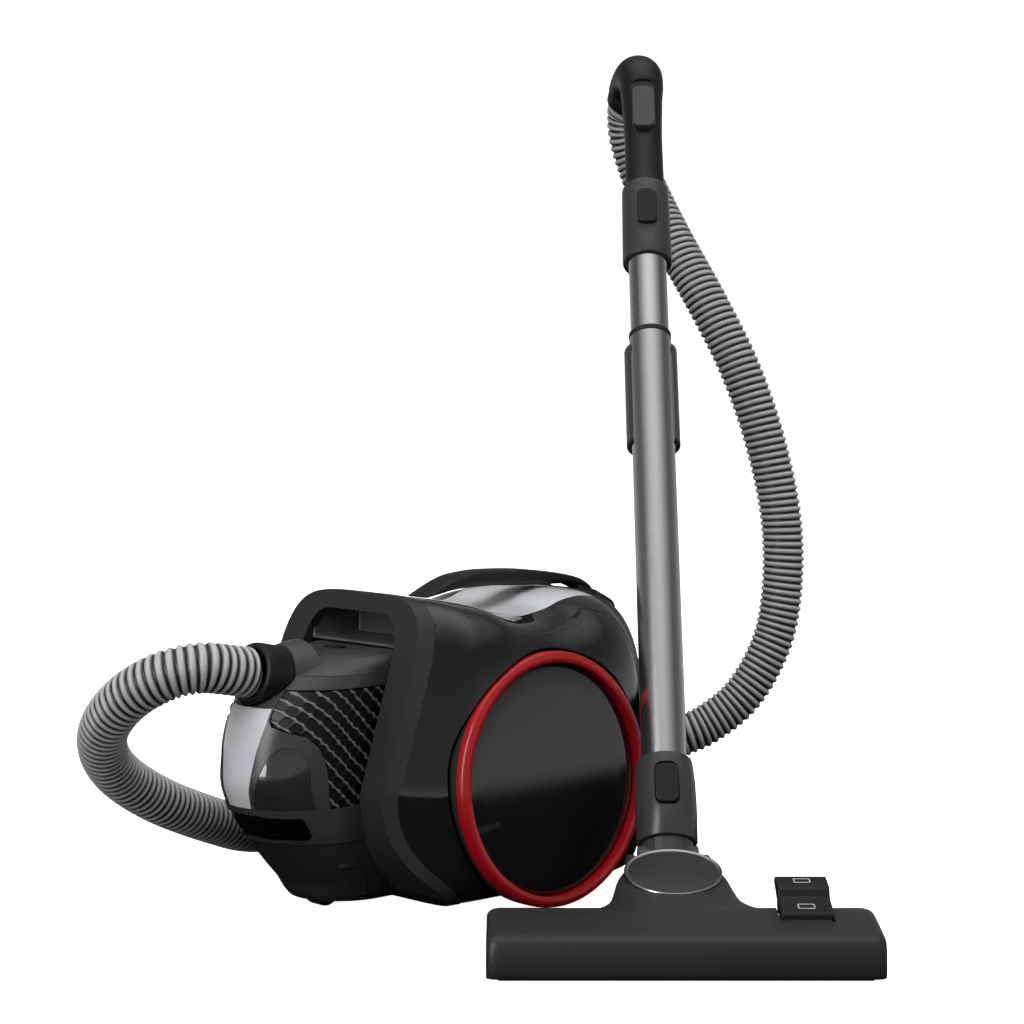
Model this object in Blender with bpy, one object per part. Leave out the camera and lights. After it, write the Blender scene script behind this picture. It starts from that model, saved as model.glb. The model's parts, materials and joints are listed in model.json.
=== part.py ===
"""Canister vacuum cleaner with hose, telescopic wand and floor head.

Every length in this file is in millimetres; the mesh builders turn them into metres.
Three frames are used: CANISTER (origin under the wheel axle, front of the machine at -Y),
HEAD (origin under the middle of the floor head's front edge, +Y to its back) and
WAND (origin on the tilt pivot of the head, +Z up the tubes, -Y on their front side).
"""
import math

import bmesh
import bpy
from mathutils import Matrix, Vector

MM = 0.001
GAP = 0.3

# ---- placement of the three groups -------------------------------------------------
FOOTPRINT_SHIFT = (-153.55, -91.05)      # puts the origin under the middle of the bounding box
HEAD_AT = (384.6, -112.4)              # head origin, from the axle
HEAD_YAW = math.radians(46.5)
PIVOT_BACK, PIVOT_UP = 225.0, 38.0
WAND_LEAN = math.radians(34.07)

# ---- canister -----------------------------------------------------------------------
WALL = 2.5
WHEEL_RADIUS, WHEEL_CAMBER, WHEEL_FACE_X = 105.0, math.radians(3.6), 138.0
TYRE_INNER, TYRE_WIDTH = 95.9, 22.0
WELL_RADIUS = 107.5
SKIRT_TOP = 14.0
REAR_SPLIT, LID_SPLIT, LID_HALF = 117.0, -12.0, 61.7
FRAME_FRONT, FRAME_BACK = -3.0, 7.0    # front frame, measured from its slanted plane
HOLE_HALF, HOLE_LOW, HOLE_HIGH = 58.5, 61.7, 241.0
# distance behind the axle, half width, underside, top, squareness of the upper half
BODY_STATIONS = [
    (-152, 80, 5, 256, 4.8), (-128, 99, 5, 255, 4.8), (-100, 128, 5, 252, 4.6),
    (-60, 134, 5, 247, 4.6), (-33, 134, 5, 240, 4.6), (-5, 134, 5, 234, 4.8),
    (25, 134, 5, 232, 4.8), (56, 134, 5, 236, 4.4), (80, 132, 5, 244, 3.8),
    (105, 126, 5, 248, 3.2), (135, 104, 8, 246, 3.0), (160, 78, 20, 234, 2.8),
    (173, 50, 44, 204, 2.5), (178, 16, 90, 160, 2.2)]
LOWER_SQUARENESS = 7.0
FRAME_SLOPE, LEAN_FROM, LEAN_END = 0.32, 105.3, 40.0
# height, front of the nose, half width
NOSE_STATIONS = [(62, -204, 55), (76, -214, 56), (92, -222, 56), (110, -227, 56), (135, -225, 56),
                 (165, -217, 56), (180, -207, 56), (196, -190, 56)]
LID_STATIONS = [(196.3, -190, 56), (204, -170, 56), (209, -150, 55), (212, -132, 53)]
CHIN_STATIONS = [(9, -160, 44), (14, -164, 48), (24, -170, 52), (33, -178, 54), (48, -191, 55), (61.4, -203, 55)]
NOSE_BACK = -62.0
PORT_AT, PORT_TILT = (0, -210, 198.5), math.radians(12.5)
CUFF_RADIUS, CUFF_LENGTH = 25.5, 26.0
CASTER_AT, CASTER_RADIUS, CASTER_TRAIL = (0, -141), 14.0, 4.0

# ---- wand ---------------------------------------------------------------------------
OUTER_TUBE_RADIUS, INNER_TUBE_RADIUS, TUBE_WALL = 19.0, 17.4, 1.2
COLLAR_FROM, COLLAR_TO = 20.0, 94.0
OUTER_TUBE_FROM, OUTER_TUBE_TO = 62.0, 516.0
INNER_TUBE_FROM, INNER_TUBE_TO = 152.0, 648.0
TOP_COLLAR_FROM, TOP_COLLAR_TO = 600.0, 686.0
GRIP_FROM, NECK_BEND_FROM, NECK_BEND_RADIUS = 650.0, 808.0, 32.0
NECK_BEND_TURN, NECK_BEND_SIDE = math.radians(106), math.radians(-10)
GRIP_BORE = 14.2

# ---- floor head ---------------------------------------------------------------------
HEAD_HALF, HEAD_DEPTH = 145.0, 84.0
DISC_AT, DISC_TILT, DISC_RADIUS = (0, 160, 48.7), math.radians(15), 38.5
PEDAL_X, PEDAL_HALF, PEDAL_HINGE = 92.0, 19.5, (72.0, 39.5)

# ---- hose ---------------------------------------------------------------------------
HOSE_RADIUS = 20.5
HOSE_STEP = 46.0
# route of the hose from the canister to the grip, in the canister frame
ROUTE = [(0, -212.5, 199.1), (0, -232, 203), (-5, -255, 206), (-19, -276, 201), (-41, -290, 188),
         (-66, -294, 170), (-92, -288, 149), (-114, -272, 127), (-128, -250, 107), (-136, -223, 89),
         (-142, -193, 73), (-150, -158, 58), (-159, -124, 45), (-168, -92, 34), (-181, -52, 26), (-194, 0, 22),
         (-203, 60, 21.5), (-205, 125, 21.5), (-196, 190, 22), (-174, 250, 27), (-140, 300, 42), (-96, 340, 62),
         (-61, 363, 79), (-42, 385, 93), (-23, 408, 117), (-9, 426, 152), (-1, 438, 193), (1, 443, 251),
         (-4, 441, 310), (-18, 432, 378), (-39, 421, 441), (-69, 410, 500), (-107, 405, 557), (-137, 405, 600),
         (-158, 404, 636), (-166, 398, 668), (-163, 392.5, 690), (-157.4, 388.1, 698.5)]
# each piece of the hose runs between two points of the route
HOSE_PIECES = {"hose_loop": (0, 12), "hose_floor": (12, 24), "hose_rise": (24, 30), "hose_hang": (30, 37)}

CANISTER = Matrix.Translation((FOOTPRINT_SHIFT[0], FOOTPRINT_SHIFT[1], 0))
HEAD = CANISTER @ Matrix.Translation((HEAD_AT[0], HEAD_AT[1], 0)) @ Matrix.Rotation(HEAD_YAW, 4, "Z")
WAND = HEAD @ Matrix.Translation((0, PIVOT_BACK, PIVOT_UP)) @ Matrix.Rotation(-WAND_LEAN, 4, "X")
PORT = CANISTER @ Matrix.Translation(PORT_AT) @ Matrix.Rotation(math.pi / 2 - PORT_TILT, 4, "X")


def wheel_frame(side):
    """Frame of a big wheel: origin on its outer face, +Z along the axle, outwards."""
    lean = math.pi / 2 - WHEEL_CAMBER
    height = WHEEL_RADIUS * math.cos(WHEEL_CAMBER) + 5 * math.sin(WHEEL_CAMBER)
    spot = Matrix.Translation((side * WHEEL_FACE_X, 0, height))
    return CANISTER @ spot @ Matrix.Rotation(side * lean, 4, "Y")


# ---- mesh builders ------------------------------------------------------------------
def new_object(name, points, faces, frame):
    """A closed mesh object from points in millimetres in the given frame."""
    mesh = bpy.data.meshes.new(name)
    mesh.from_pydata([(frame @ Vector(p)) * MM for p in points], [], faces)
    work = bmesh.new()
    work.from_mesh(mesh)
    bmesh.ops.recalc_face_normals(work, faces=work.faces)
    work.to_mesh(mesh)
    work.free()
    thing = bpy.data.objects.new(name, mesh)
    bpy.context.scene.collection.objects.link(thing)
    return thing


def stack(name, rings, frame):
    """A solid through a row of rings that all have the same number of points."""
    count = len(rings[0])
    points = [p for ring in rings for p in ring]
    faces = [list(range(count)), list(range(len(points) - count, len(points)))]
    for r in range(len(rings) - 1):
        for i in range(count):
            j = (i + 1) % count
            faces.append([r * count + i, r * count + j, (r + 1) * count + j, (r + 1) * count + i])
    return new_object(name, points, faces, frame)


def turned(name, profile, frame, segments=24):
    """A solid of revolution about local Z from a closed outline of (radius, height)."""
    points, rows = [], []
    for radius, height in profile:
        if radius < 1e-6:
            rows.append([len(points)] * segments)
            points.append((0, 0, height))
            continue
        rows.append(list(range(len(points), len(points) + segments)))
        for k in range(segments):
            turn = 2 * math.pi * k / segments
            points.append((radius * math.cos(turn), radius * math.sin(turn), height))
    faces = []
    for r in range(len(rows)):
        low, high = rows[r], rows[(r + 1) % len(rows)]
        for k in range(segments):
            n = (k + 1) % segments
            corners = list(dict.fromkeys([low[k], low[n], high[n], high[k]]))
            if len(corners) > 2:
                faces.append(corners)
    return new_object(name, points, faces, frame)


def tube(name, outer, inner, low, high, frame, segments=24, chamfer=0.6):
    """A straight pipe with small chamfers on its outer edges."""
    profile = [(outer - chamfer, low), (outer, low + chamfer), (outer, high - chamfer),
               (outer - chamfer, high), (inner, high), (inner, low)]
    return turned(name, profile, frame, segments)


def rod(name, radius, low, high, frame, segments=20, chamfer=0.6):
    profile = [(0, low), (radius - chamfer, low), (radius, low + chamfer),
               (radius, high - chamfer), (radius - chamfer, high), (0, high)]
    return turned(name, profile, frame, segments)


def prism(name, outline, low, high, axis, frame):
    """An outline extruded along X, Y or Z; the outline holds the two other coordinates in order."""
    def place(u, v, w):
        return {"x": (w, u, v), "y": (u, w, v), "z": (u, v, w)}[axis]
    rings = [[place(u, v, w) for u, v in outline] for w in (low, high)]
    return stack(name, rings, frame)


def block(name, low, high, frame):
    outline = [(low[0], low[1]), (high[0], low[1]), (high[0], high[1]), (low[0], high[1])]
    return prism(name, outline, low[2], high[2], "z", frame)


def rounded(width, height, radius, middle=(0, 0), steps=2):
    """Outline of a rectangle with round corners."""
    outline = []
    corners = [(1, 1, 0), (-1, 1, 90), (-1, -1, 180), (1, -1, 270)]
    for sx, sy, start in corners:
        cx = middle[0] + sx * (width / 2 - radius)
        cy = middle[1] + sy * (height / 2 - radius)
        for k in range(steps + 1):
            turn = math.radians(start + 90 * k / steps)
            outline.append((cx + radius * math.cos(turn), cy + radius * math.sin(turn)))
    return outline


def weld(mesh):
    """Joins corners that nearly touch, by the smallest distance that leaves the surface closed."""
    for distance in (0.0002, 0.001, 0.004, 0.015, 0.06):
        work = bmesh.new()
        work.from_mesh(mesh)
        bmesh.ops.remove_doubles(work, verts=work.verts, dist=distance * MM)
        closed = all(len(edge.link_faces) == 2 for edge in work.edges)
        if closed:
            work.to_mesh(mesh)
        work.free()
        if closed:
            return


def carve(thing, tool, operation="DIFFERENCE"):
    """Boolean of a thing with a tool, kept as plain mesh; the tool is removed."""
    modifier = thing.modifiers.new("carve", "BOOLEAN")
    modifier.operation = operation
    modifier.solver = "EXACT"
    modifier.object = tool
    bpy.context.view_layer.update()
    shape = thing.evaluated_get(bpy.context.evaluated_depsgraph_get())
    mesh = bpy.data.meshes.new_from_object(shape)
    weld(mesh)
    old = thing.data
    thing.modifiers.clear()
    thing.data = mesh
    bpy.data.meshes.remove(old)
    bpy.data.objects.remove(tool, do_unlink=True)
    return thing


def mirrored(thing, name):
    """The same piece for the other side of the canister."""
    mesh = thing.data.copy()
    mesh.name = name
    to_other_side = Matrix.Translation((2 * FOOTPRINT_SHIFT[0] * MM, 0, 0)) @ Matrix.Diagonal((-1, 1, 1, 1))
    mesh.transform(to_other_side)
    mesh.flip_normals()
    twin = bpy.data.objects.new(name, mesh)
    bpy.context.scene.collection.objects.link(twin)
    return twin


def add(thing, *tools):
    for tool in tools:
        carve(thing, tool, "UNION")
    return thing


def keep(thing, *tools):
    for tool in tools:
        carve(thing, tool, "INTERSECT")
    return thing


def cut(thing, *tools):
    for tool in tools:
        carve(thing, tool)
    return thing


def smooth_value(rows, column, at):
    """Cubic interpolation of one column of a table of stations, through every row."""
    last = len(rows) - 1
    at = min(max(at, rows[0][0]), rows[last][0])
    k = max(i for i in range(last) if rows[i][0] <= at)
    x0, x1 = rows[k][0], rows[k + 1][0]

    def slope(i):
        if i in (0, last):
            return 0.0
        before = (rows[i][column] - rows[i - 1][column]) / (rows[i][0] - rows[i - 1][0])
        after = (rows[i + 1][column] - rows[i][column]) / (rows[i + 1][0] - rows[i][0])
        return 0.0 if before * after <= 0 else 2 * before * after / (before + after)

    if k == 0:
        first = 1.5 * (rows[1][column] - rows[0][column]) / (x1 - x0) - slope(1) / 2
    else:
        first = slope(k)
    if k == last - 1:
        second = 1.5 * (rows[last][column] - rows[k][column]) / (x1 - x0) - slope(k) / 2
    else:
        second = slope(k + 1)
    t, span = (at - x0) / (x1 - x0), x1 - x0
    h00, h10 = 2 * t**3 - 3 * t**2 + 1, t**3 - 2 * t**2 + t
    h01, h11 = 3 * t**2 - 2 * t**3, t**3 - t**2
    return h00 * rows[k][column] + h10 * span * first + h01 * rows[k + 1][column] + h11 * span * second


# ---- shared canister forms ----------------------------------------------------------
def lean(y, z):
    """How far a section's upper part is set back: with the frame at the front, not at all behind the axle."""
    fade = min(max((LEAN_END - y) / (LEAN_END - BODY_STATIONS[0][0]), 0.0), 1.0)
    return fade * FRAME_SLOPE * max(0.0, z - LEAN_FROM)


def body_ring(y, shrink, count=32):
    """One section of the canister's outer form, shrunk by a wall."""
    half = smooth_value(BODY_STATIONS, 1, y) - shrink
    low = smooth_value(BODY_STATIONS, 2, y) + shrink
    high = smooth_value(BODY_STATIONS, 3, y) - shrink
    upper = smooth_value(BODY_STATIONS, 4, y)
    middle, rise = (low + high) / 2, (high - low) / 2
    ring = []
    for k in range(count):
        turn = 2 * math.pi * (k + 0.5) / count
        c, s = math.cos(turn), math.sin(turn)
        power = 2 / (upper if s > 0 else LOWER_SQUARENESS)
        x = math.copysign(abs(c) ** power, c) * half
        z = middle + math.copysign(abs(s) ** power, s) * rise
        ring.append((x, y + lean(y, z), z))
    return ring


def body_form(shrink=0.0):
    ys = [row[0] for row in BODY_STATIONS] + [-114, -80, 122, 148]
    rings = [body_ring(y, shrink) for y in sorted(ys)]
    return stack("body_form", rings, CANISTER)


def body_shell(name, wall=WALL, outside=0.0):
    outer = body_form(outside)
    outer.name = name
    return cut(outer, body_form(outside + wall))


def frame_plane(z):
    """Front-to-back place of the slanted plane that the front frame lies in."""
    if z >= 100:
        return -142 + FRAME_SLOPE * (z - 100)
    return -142 + 49 * ((100 - z) / 88) ** 2.4


def slanted(offset, behind):
    """Everything behind, or in front of, the frame's slanted plane moved back by an offset."""
    heights = [-20, 2, 10, 22, 38, 58, 80, 100, 300]
    edge = [(frame_plane(z) + offset, z) for z in heights]
    far = 300 if behind else -400
    return prism("slanted", edge + [(far, 300), (far, -20)], -200, 200, "x", CANISTER)


def nose_ring(z, front, half, shrink=0.0, back=NOSE_BACK, steps=12):
    """Level outline of the nose: straight sides and a round front."""
    radius = half - shrink
    middle = front + half
    ring = [(radius, back - shrink, z)]
    for k in range(steps + 1):
        turn = math.pi * k / steps
        ring.append((radius * math.cos(turn), middle - radius * math.sin(turn), z))
    ring.append((-radius, back - shrink, z))
    return ring


def nose_form(name, stations, shrink=0.0, back=NOSE_BACK, lower=0.0, raise_top=0.0):
    levels = [list(row) for row in stations]
    levels[0][0] += lower
    levels[-1][0] += raise_top
    rings = [nose_ring(z, front, half, shrink, back) for z, front, half in levels]
    return stack(name, rings, CANISTER)


def wheel_hole(side, radius=WELL_RADIUS):
    return rod("hole", radius, -33, 60, wheel_frame(side), 36)


# ---- canister pieces ----------------------------------------------------------------
def side_region(side, inner=LID_HALF + 0.15):
    low, high = sorted((side * inner, side * 200))
    return block("region", (low, -200, SKIRT_TOP + 0.15), (high, REAR_SPLIT - 0.15, 300), CANISTER)


def wheel_well(side):
    """Cup that the wheel sits in, with the stub axle it turns on."""
    r = WELL_RADIUS
    profile = [(0, -14), (7.6, -14), (8.2, -15), (8.2, -32), (r - 5, -32), (r, -27), (r, 20), (r + 2, 20),
               (r + 2, -29), (r - 3, -34), (0, -34)]
    return keep(turned("well", profile, wheel_frame(side), 36), body_form(0.6))


def side_shell(name, side):
    """Gloss side panel, in one piece with its wheel well."""
    shell = body_form()
    shell.name = name
    keep(shell, slanted(FRAME_BACK + GAP, True), side_region(side))
    cut(shell, body_form(WALL), wheel_hole(side, WELL_RADIUS + 1))
    return add(shell, keep(wheel_well(side), side_region(side)))


def chassis():
    tray = body_shell("chassis", 3.0)
    region = block("region", (-200, -200, -5), (200, 200, SKIRT_TOP - 0.15), CANISTER)
    keep(tray, region, slanted(FRAME_BACK + GAP, True))
    return cut(tray, wheel_hole(1), wheel_hole(-1))


def rear_shell():
    shell = body_shell("rear_shell")
    region = block("region", (-200, REAR_SPLIT + 0.15, SKIRT_TOP + 0.15), (200, 200, 300), CANISTER)
    keep(shell, region)
    for k in range(6):
        z = 66 + 13 * k
        cut(shell, block("slot", (-34, 160, z), (34, 190, z + 5), CANISTER))
    for side in (1, -1):
        cut(shell, prism("key_slot", foot_button_outline(side, 0.4), 150, 262, "z", CANISTER))
    return cut(shell, rod("outlet", 9.3, 150, 200, CANISTER @ Matrix.Translation((0, 0, 52))
                          @ Matrix.Rotation(-math.pi / 2, 4, "X")))


def frame_hole(margin=0.0):
    half, top = HOLE_HALF + margin, HOLE_HIGH + margin
    arc = [(half - 6, top - 12), (half - 12, top - 4), (half - 20, top)]
    right = [(half - 1.5, HOLE_LOW - margin), (half, HOLE_LOW + 1.5), (half, 200)] + arc
    outline = right + [(-x, z) for x, z in reversed(right)]
    return prism("hole", outline, -200, -40, "y", CANISTER)


def front_frame():
    """Ring around the container; its hand recess is moulded on behind the top bar."""
    frame = body_form(-0.5)
    frame.name = "front_frame"
    keep(frame, slanted(FRAME_FRONT, True))
    cut(frame, slanted(FRAME_BACK, True), frame_hole())
    pan = block("pan", (-60.5, -97, 213), (60.5, -46, 243.5), CANISTER)
    keep(pan, slanted(2, True))
    add(frame, pan)
    return cut(frame, block("hollow", (-56, -130, 215.5), (56, -49, 240.5), CANISTER))


def top_panel(name, y_from, y_to):
    shell = body_form()
    shell.name = name
    region = block("region", (-LID_HALF + 0.15, y_from, 200), (LID_HALF - 0.15, y_to, 300), CANISTER)
    keep(shell, region, slanted(FRAME_BACK + GAP, True))
    return cut(shell, body_form(WALL))


def carry_handle():
    """Strap over the window; its feet stand on the top cover and on the rear shell."""
    top = [(-32, 247.6), (-22, 252), (-6, 259.5), (12, 264.5), (40, 266.5), (75, 265), (110, 261.5), (140, 256.5),
           (158, 249), (167, 240), (170, 231)]
    under = [(163, 235.5), (155, 240), (148, 243.5), (135, 246.4), (122, 248.3), (112, 248.8), (100, 247), (80, 250),
             (45, 252), (15, 251), (2, 249), (-10, 243.5), (-20, 245.2)]
    handle = prism("carry_handle", top + under, -15, 15, "x", CANISTER)
    return cut(handle, body_form(-GAP))


def cover_latch():
    return block("cover_latch", (24, -9, 234.5), (34, 6, 240), CANISTER)


def casing():
    """Dust container casing: open on top, with window, grille and flap openings."""
    shell = nose_form("container_casing", NOSE_STATIONS)
    cut(shell, nose_form("hollow", NOSE_STATIONS, WALL, NOSE_BACK, WALL, 5))
    cut(shell, window_prism(0.0), port_cone(GAP))
    for side in (1, -1):
        cut(shell, arch_prism(side, 0.0), grille_prism(side, 0.0))
    cut(shell, block("slot", (-47, -230, 65.5), (47, -183, 86), CANISTER))
    return cut(shell, rod("outlet", 17.0, 40, 90, CANISTER @ Matrix.Translation((0, 0, 140))
                          @ Matrix.Rotation(math.pi / 2, 4, "X")))


def window_prism(margin):
    low, high = 91.5 + margin, 172 - margin
    outline = [(14 - margin, low), (25 - margin, 160), (25 - margin, high)]
    outline += [(-x, z) for x, z in reversed(outline)]
    return prism("window", outline, -240, -195, "y", CANISTER)


def arch_prism(side, margin):
    low = 91.5 + margin
    outline = [(18 + margin, low), (24 + margin, 118), (31 + margin, 136 - margin), (38, 142.5 - margin),
               (45, 142.5 - margin), (50 - margin, 136), (52.5 - margin, 122), (52.5 - margin, low)]
    outline = [(side * x, z) for x, z in outline]
    return prism("arch", outline, -240, -176, "y", CANISTER)


def grille_prism(side, margin):
    outline = [(-142 - margin, 91 + margin), (-176 + margin, 91 + margin), (-180 + margin, 134),
               (-190 + margin, 150), (-200 + margin, 158), (-192 + margin, 186 - margin),
               (-112 - margin, 186 - margin)]
    low, high = sorted((side * 26, side * 70))
    return prism("grille", outline, low, high, "x", CANISTER)


def container_window():
    skin = nose_form("container_window", NOSE_STATIONS, 0.0)
    cut(skin, nose_form("hollow", NOSE_STATIONS, WALL - 0.5))
    return keep(skin, window_prism(0.35))


def arch_window(name, side):
    skin = nose_form(name, NOSE_STATIONS, 0.4)
    cut(skin, nose_form("hollow", NOSE_STATIONS, WALL))
    return keep(skin, arch_prism(side, 0.35))


def grille(name, side):
    skin = nose_form(name, NOSE_STATIONS, 0.3)
    cut(skin, nose_form("hollow", NOSE_STATIONS, WALL))
    keep(skin, grille_prism(side, 0.35))
    low, high = sorted((side * 20, side * 80))
    for k in range(7):
        y, z = -196 + 7.5 * k, 172 - 9.5 * k
        run = 44 if k < 5 else 26
        bar = [(y, z), (y + run, z - 0.55 * run), (y + run, z - 0.55 * run + 4), (y, z + 4)]
        bar = [(max(min(u, -120), -186), v) for u, v in bar]
        if bar[1][0] - bar[0][0] > 12:
            cut(skin, prism("slot", bar, low, high, "x", CANISTER))
    return skin


def container_lid():
    lid = nose_form("container_lid", LID_STATIONS)
    inner = [(z - 2.5, front + 4, half) for z, front, half in LID_STATIONS]
    inner[0] = (190, -186, 56)
    cut(lid, nose_form("hollow", inner, WALL))
    cut(lid, port_cone(GAP))
    return cut(lid, block("button_hole", (-11.3, -128.3, 205), (11.3, -116.7, 215), CANISTER))


def container_button():
    return prism("container_button", rounded(22, 11, 3, (0, -122.5)), 204.5, 213.2, "z", CANISTER)


def port_cone(margin):
    """Outer form of the hose socket; the cuff plugs in at its front."""
    profile = [(0, -66), (37 + margin, -66), (36 + margin, -56), (29 + margin, -32), (26.5 + margin, -26 + margin),
               (26.5 + margin, 8 if margin else -26), (0, 8 if margin else -26)]
    if not margin:
        profile = profile[:4] + [(26.5, -26.3), (0, -26.3)]
    return turned("port", profile, PORT, 28)


def hose_socket():
    socket = port_cone(0.0)
    socket.name = "hose_socket"
    return cut(socket, rod("bore", 17.5, -80, 10, PORT), rod("mouth", 20.0, -46, 10, PORT),
               block("under_lid", (-60, -160, 150), (60, -100, 230), CANISTER),
               cyclone_space())


def cyclone_space():
    return rod("space", 37.0, 60, 172.5, CANISTER @ Matrix.Translation((0, -166, 0)), 32)


def hose_cuff():
    profile = [(CUFF_RADIUS - 1.5, -CUFF_LENGTH), (CUFF_RADIUS, -CUFF_LENGTH + 1.5), (CUFF_RADIUS, -3),
               (CUFF_RADIUS - 2, 0), (15.5, 0), (15.5, -44), (19.6, -44), (19.6, -CUFF_LENGTH)]
    return turned("hose_cuff_canister", profile, PORT, 28)


def slot_insert():
    """Dark curved insert in the slot under the container's windows."""
    skin = nose_form("slot_insert", NOSE_STATIONS, 1.2)
    cut(skin, nose_form("hollow", NOSE_STATIONS, 4.2, NOSE_BACK))
    return keep(skin, block("region", (-46, -230, 67.5), (46, -186, 84), CANISTER))


def chin():
    """Bumper under the container; it holds the caster."""
    form = nose_form("chin", CHIN_STATIONS)
    hollow = [(z, front + 3, half - 3) for z, front, half in CHIN_STATIONS]
    hollow[0], hollow[-1] = (0, -157, 41), (58.4, -197, 52)
    cut(form, nose_form("hollow", hollow, 0, -50))
    keep(form, slanted(FRAME_FRONT - GAP, False))
    plate = block("seat", (-53.5, -158, 41), (53.5, -131, 44), CANISTER)
    return add(form, keep(plate, slanted(FRAME_FRONT - GAP, False)))


def caster_fork():
    spot = CANISTER @ Matrix.Translation((CASTER_AT[0], CASTER_AT[1], 0))
    fork = rod("caster_fork", 14, 34.5, 40.6, spot)
    for side in (1, -1):
        low, high = sorted((side * 9.5, side * 12))
        outline = [(-7, 35.5), (-2, 11), (2, 9), (7, 9), (10, 13), (9, 35.5)]
        add(fork, prism("cheek", outline, low, high, "x", spot))
    axle = spot @ Matrix.Translation((0, CASTER_TRAIL, CASTER_RADIUS)) @ Matrix.Rotation(math.pi / 2, 4, "Y")
    return add(fork, rod("axle", 2.5, -10, 10, axle, 12))


def caster_wheel():
    spot = CANISTER @ Matrix.Translation((CASTER_AT[0], CASTER_AT[1] + CASTER_TRAIL, CASTER_RADIUS))
    r = CASTER_RADIUS
    profile = [(2.9, -8.5), (r - 2, -8.5), (r, -6.5), (r, 6.5), (r - 2, 8.5), (2.9, 8.5)]
    return turned("caster_wheel", profile, spot @ Matrix.Rotation(math.pi / 2, 4, "Y"), 24)


def tyre(name, side):
    """Red ring around the wheel; its outer face is flat and its tread slightly round."""
    r = WHEEL_RADIUS
    profile = [(TYRE_INNER, 0), (r - 2.5, 0), (r, -5), (r - 0.9, -18), (r - 4, -TYRE_WIDTH),
               (TYRE_INNER, -TYRE_WIDTH)]
    return turned(name, profile, wheel_frame(side), 40)


def wheel_disc(name, side):
    """Dished cover with the hub behind it."""
    r = TYRE_INNER - GAP
    profile = [(0, -7), (75, -4), (r - 3, -2.2), (r, -3.4), (r, -20), (r - 2.5, -20), (r - 3, -8),
               (16, -11), (16, -25), (8.6, -25), (8.6, -12), (0, -12)]
    return turned(name, profile, wheel_frame(side), 40)


def foot_button_outline(side, margin=0.0):
    return rounded(34 + 2 * margin, 20 + 2 * margin, 7 + margin, (side * 38, 146))


def foot_button(name, side):
    """Key that stands in a slot on the rear shoulder of the machine."""
    shape = body_form(-3.6)
    shape.name = name
    keep(shape, prism("region", foot_button_outline(side), 150, 262, "z", CANISTER))
    return cut(shape, body_form(7.5))


def motor_pieces():
    spot = CANISTER @ Matrix.Translation((0, 0, 112)) @ Matrix.Rotation(-math.pi / 2, 4, "X")
    cup = turned("motor_housing", [(0, 66), (50, 66), (52, 64), (52, -30), (49, -30), (49, 62), (0, 62)], spot)
    core = turned("motor_core", [(5, -12), (38, -12), (40, -10), (40, 54), (38, 56), (5, 56)], spot)
    fan = turned("fan", [(0, -26), (8, -26), (10, -20), (44, -17.5), (44, -14.5), (4.4, -13.5), (4.4, 58), (0, 58)],
                 spot)
    filt = rod("motor_filter", 47, -46, -37.4, spot, 32)
    return [cup, core, fan, filt]


def cyclone_pieces():
    spot = CANISTER @ Matrix.Translation((0, -166, 0))
    cup = turned("cyclone_cup", [(0, 68), (36, 68), (36.5, 70), (36.5, 150), (34.5, 150), (34.5, 71), (0, 71)], spot)
    mesh = turned("mesh_filter", [(0, 84), (16, 84), (22, 100), (22, 164), (20, 164), (20, 102), (15, 87), (0, 87)],
                  spot, 28)
    return [cup, mesh]


def cord_reel():
    """Drum for the mains lead, with its two axle ends."""
    spot = CANISTER @ Matrix.Translation((0, 118, 92)) @ Matrix.Rotation(math.pi / 2, 4, "Y")
    profile = [(0, -42), (6, -42), (6, -34), (42, -34), (42, -31), (24, -31), (24, 31), (42, 31), (42, 34), (6, 34),
               (6, 42), (0, 42)]
    return turned("cord_reel", profile, spot, 24)


def exhaust_filter():
    return block("exhaust_filter", (-46, 72, 186), (46, 132, 206), CANISTER)


# ---- wand pieces --------------------------------------------------------------------
def slot_cutter(width, low, high, front, back, frame):
    outline = rounded(width, high - low, width / 3, (0, (low + high) / 2))
    return prism("slot", outline, front, back, "y", frame)


def wand_neck():
    """Barrel on the tilt pin and the spigot that the wand turns on."""
    neck = rod("wand_neck", 21.5, 2, 19.7, WAND, 24)
    barrel = rod("barrel", 18.0, -24.5, 24.5, WAND @ Matrix.Rotation(math.pi / 2, 4, "Y"), 24)
    spigot = rod("spigot", 17.2, 18, 60, WAND, 24)
    add(neck, barrel, spigot)
    cut(neck, rod("bore", 13.5, 8, 80, WAND, 20))
    return add(neck, rod("pin", 4.0, -33.6, 33.6, WAND @ Matrix.Rotation(math.pi / 2, 4, "Y"), 16))


def lower_collar():
    profile = [(23.5, COLLAR_FROM), (25, COLLAR_FROM + 2), (25.4, 50), (24.6, 78), (22.8, COLLAR_TO), (19.4, COLLAR_TO),
               (19.4, 61.6), (17.6, 61.6), (17.6, COLLAR_FROM)]
    collar = turned("lower_collar", profile, WAND, 28)
    return cut(collar, slot_cutter(20.4, 45.5, 84, -40, -19.8, WAND))


def push_button(name, width, low, high, front, back, frame, side=-1):
    """Rounded key that stands in a slot of a collar; side -1 puts it on the front."""
    outline = rounded(width, high - low, width / 3, (0, (low + high) / 2))
    near, far = sorted((side * front, side * back))
    return prism(name, outline, near, far, "y", frame)


def lower_tube():
    return tube("lower_tube", OUTER_TUBE_RADIUS, OUTER_TUBE_RADIUS - TUBE_WALL, OUTER_TUBE_FROM, OUTER_TUBE_TO,
                WAND, 24, 0.4)


def tube_seal():
    return tube("tube_seal", 19.4, INNER_TUBE_RADIUS + GAP, OUTER_TUBE_TO + GAP, OUTER_TUBE_TO + 5, WAND, 24)


def upper_tube():
    return tube("upper_tube", INNER_TUBE_RADIUS, INNER_TUBE_RADIUS - TUBE_WALL, INNER_TUBE_FROM, INNER_TUBE_TO,
                WAND, 24, 0.4)


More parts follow.
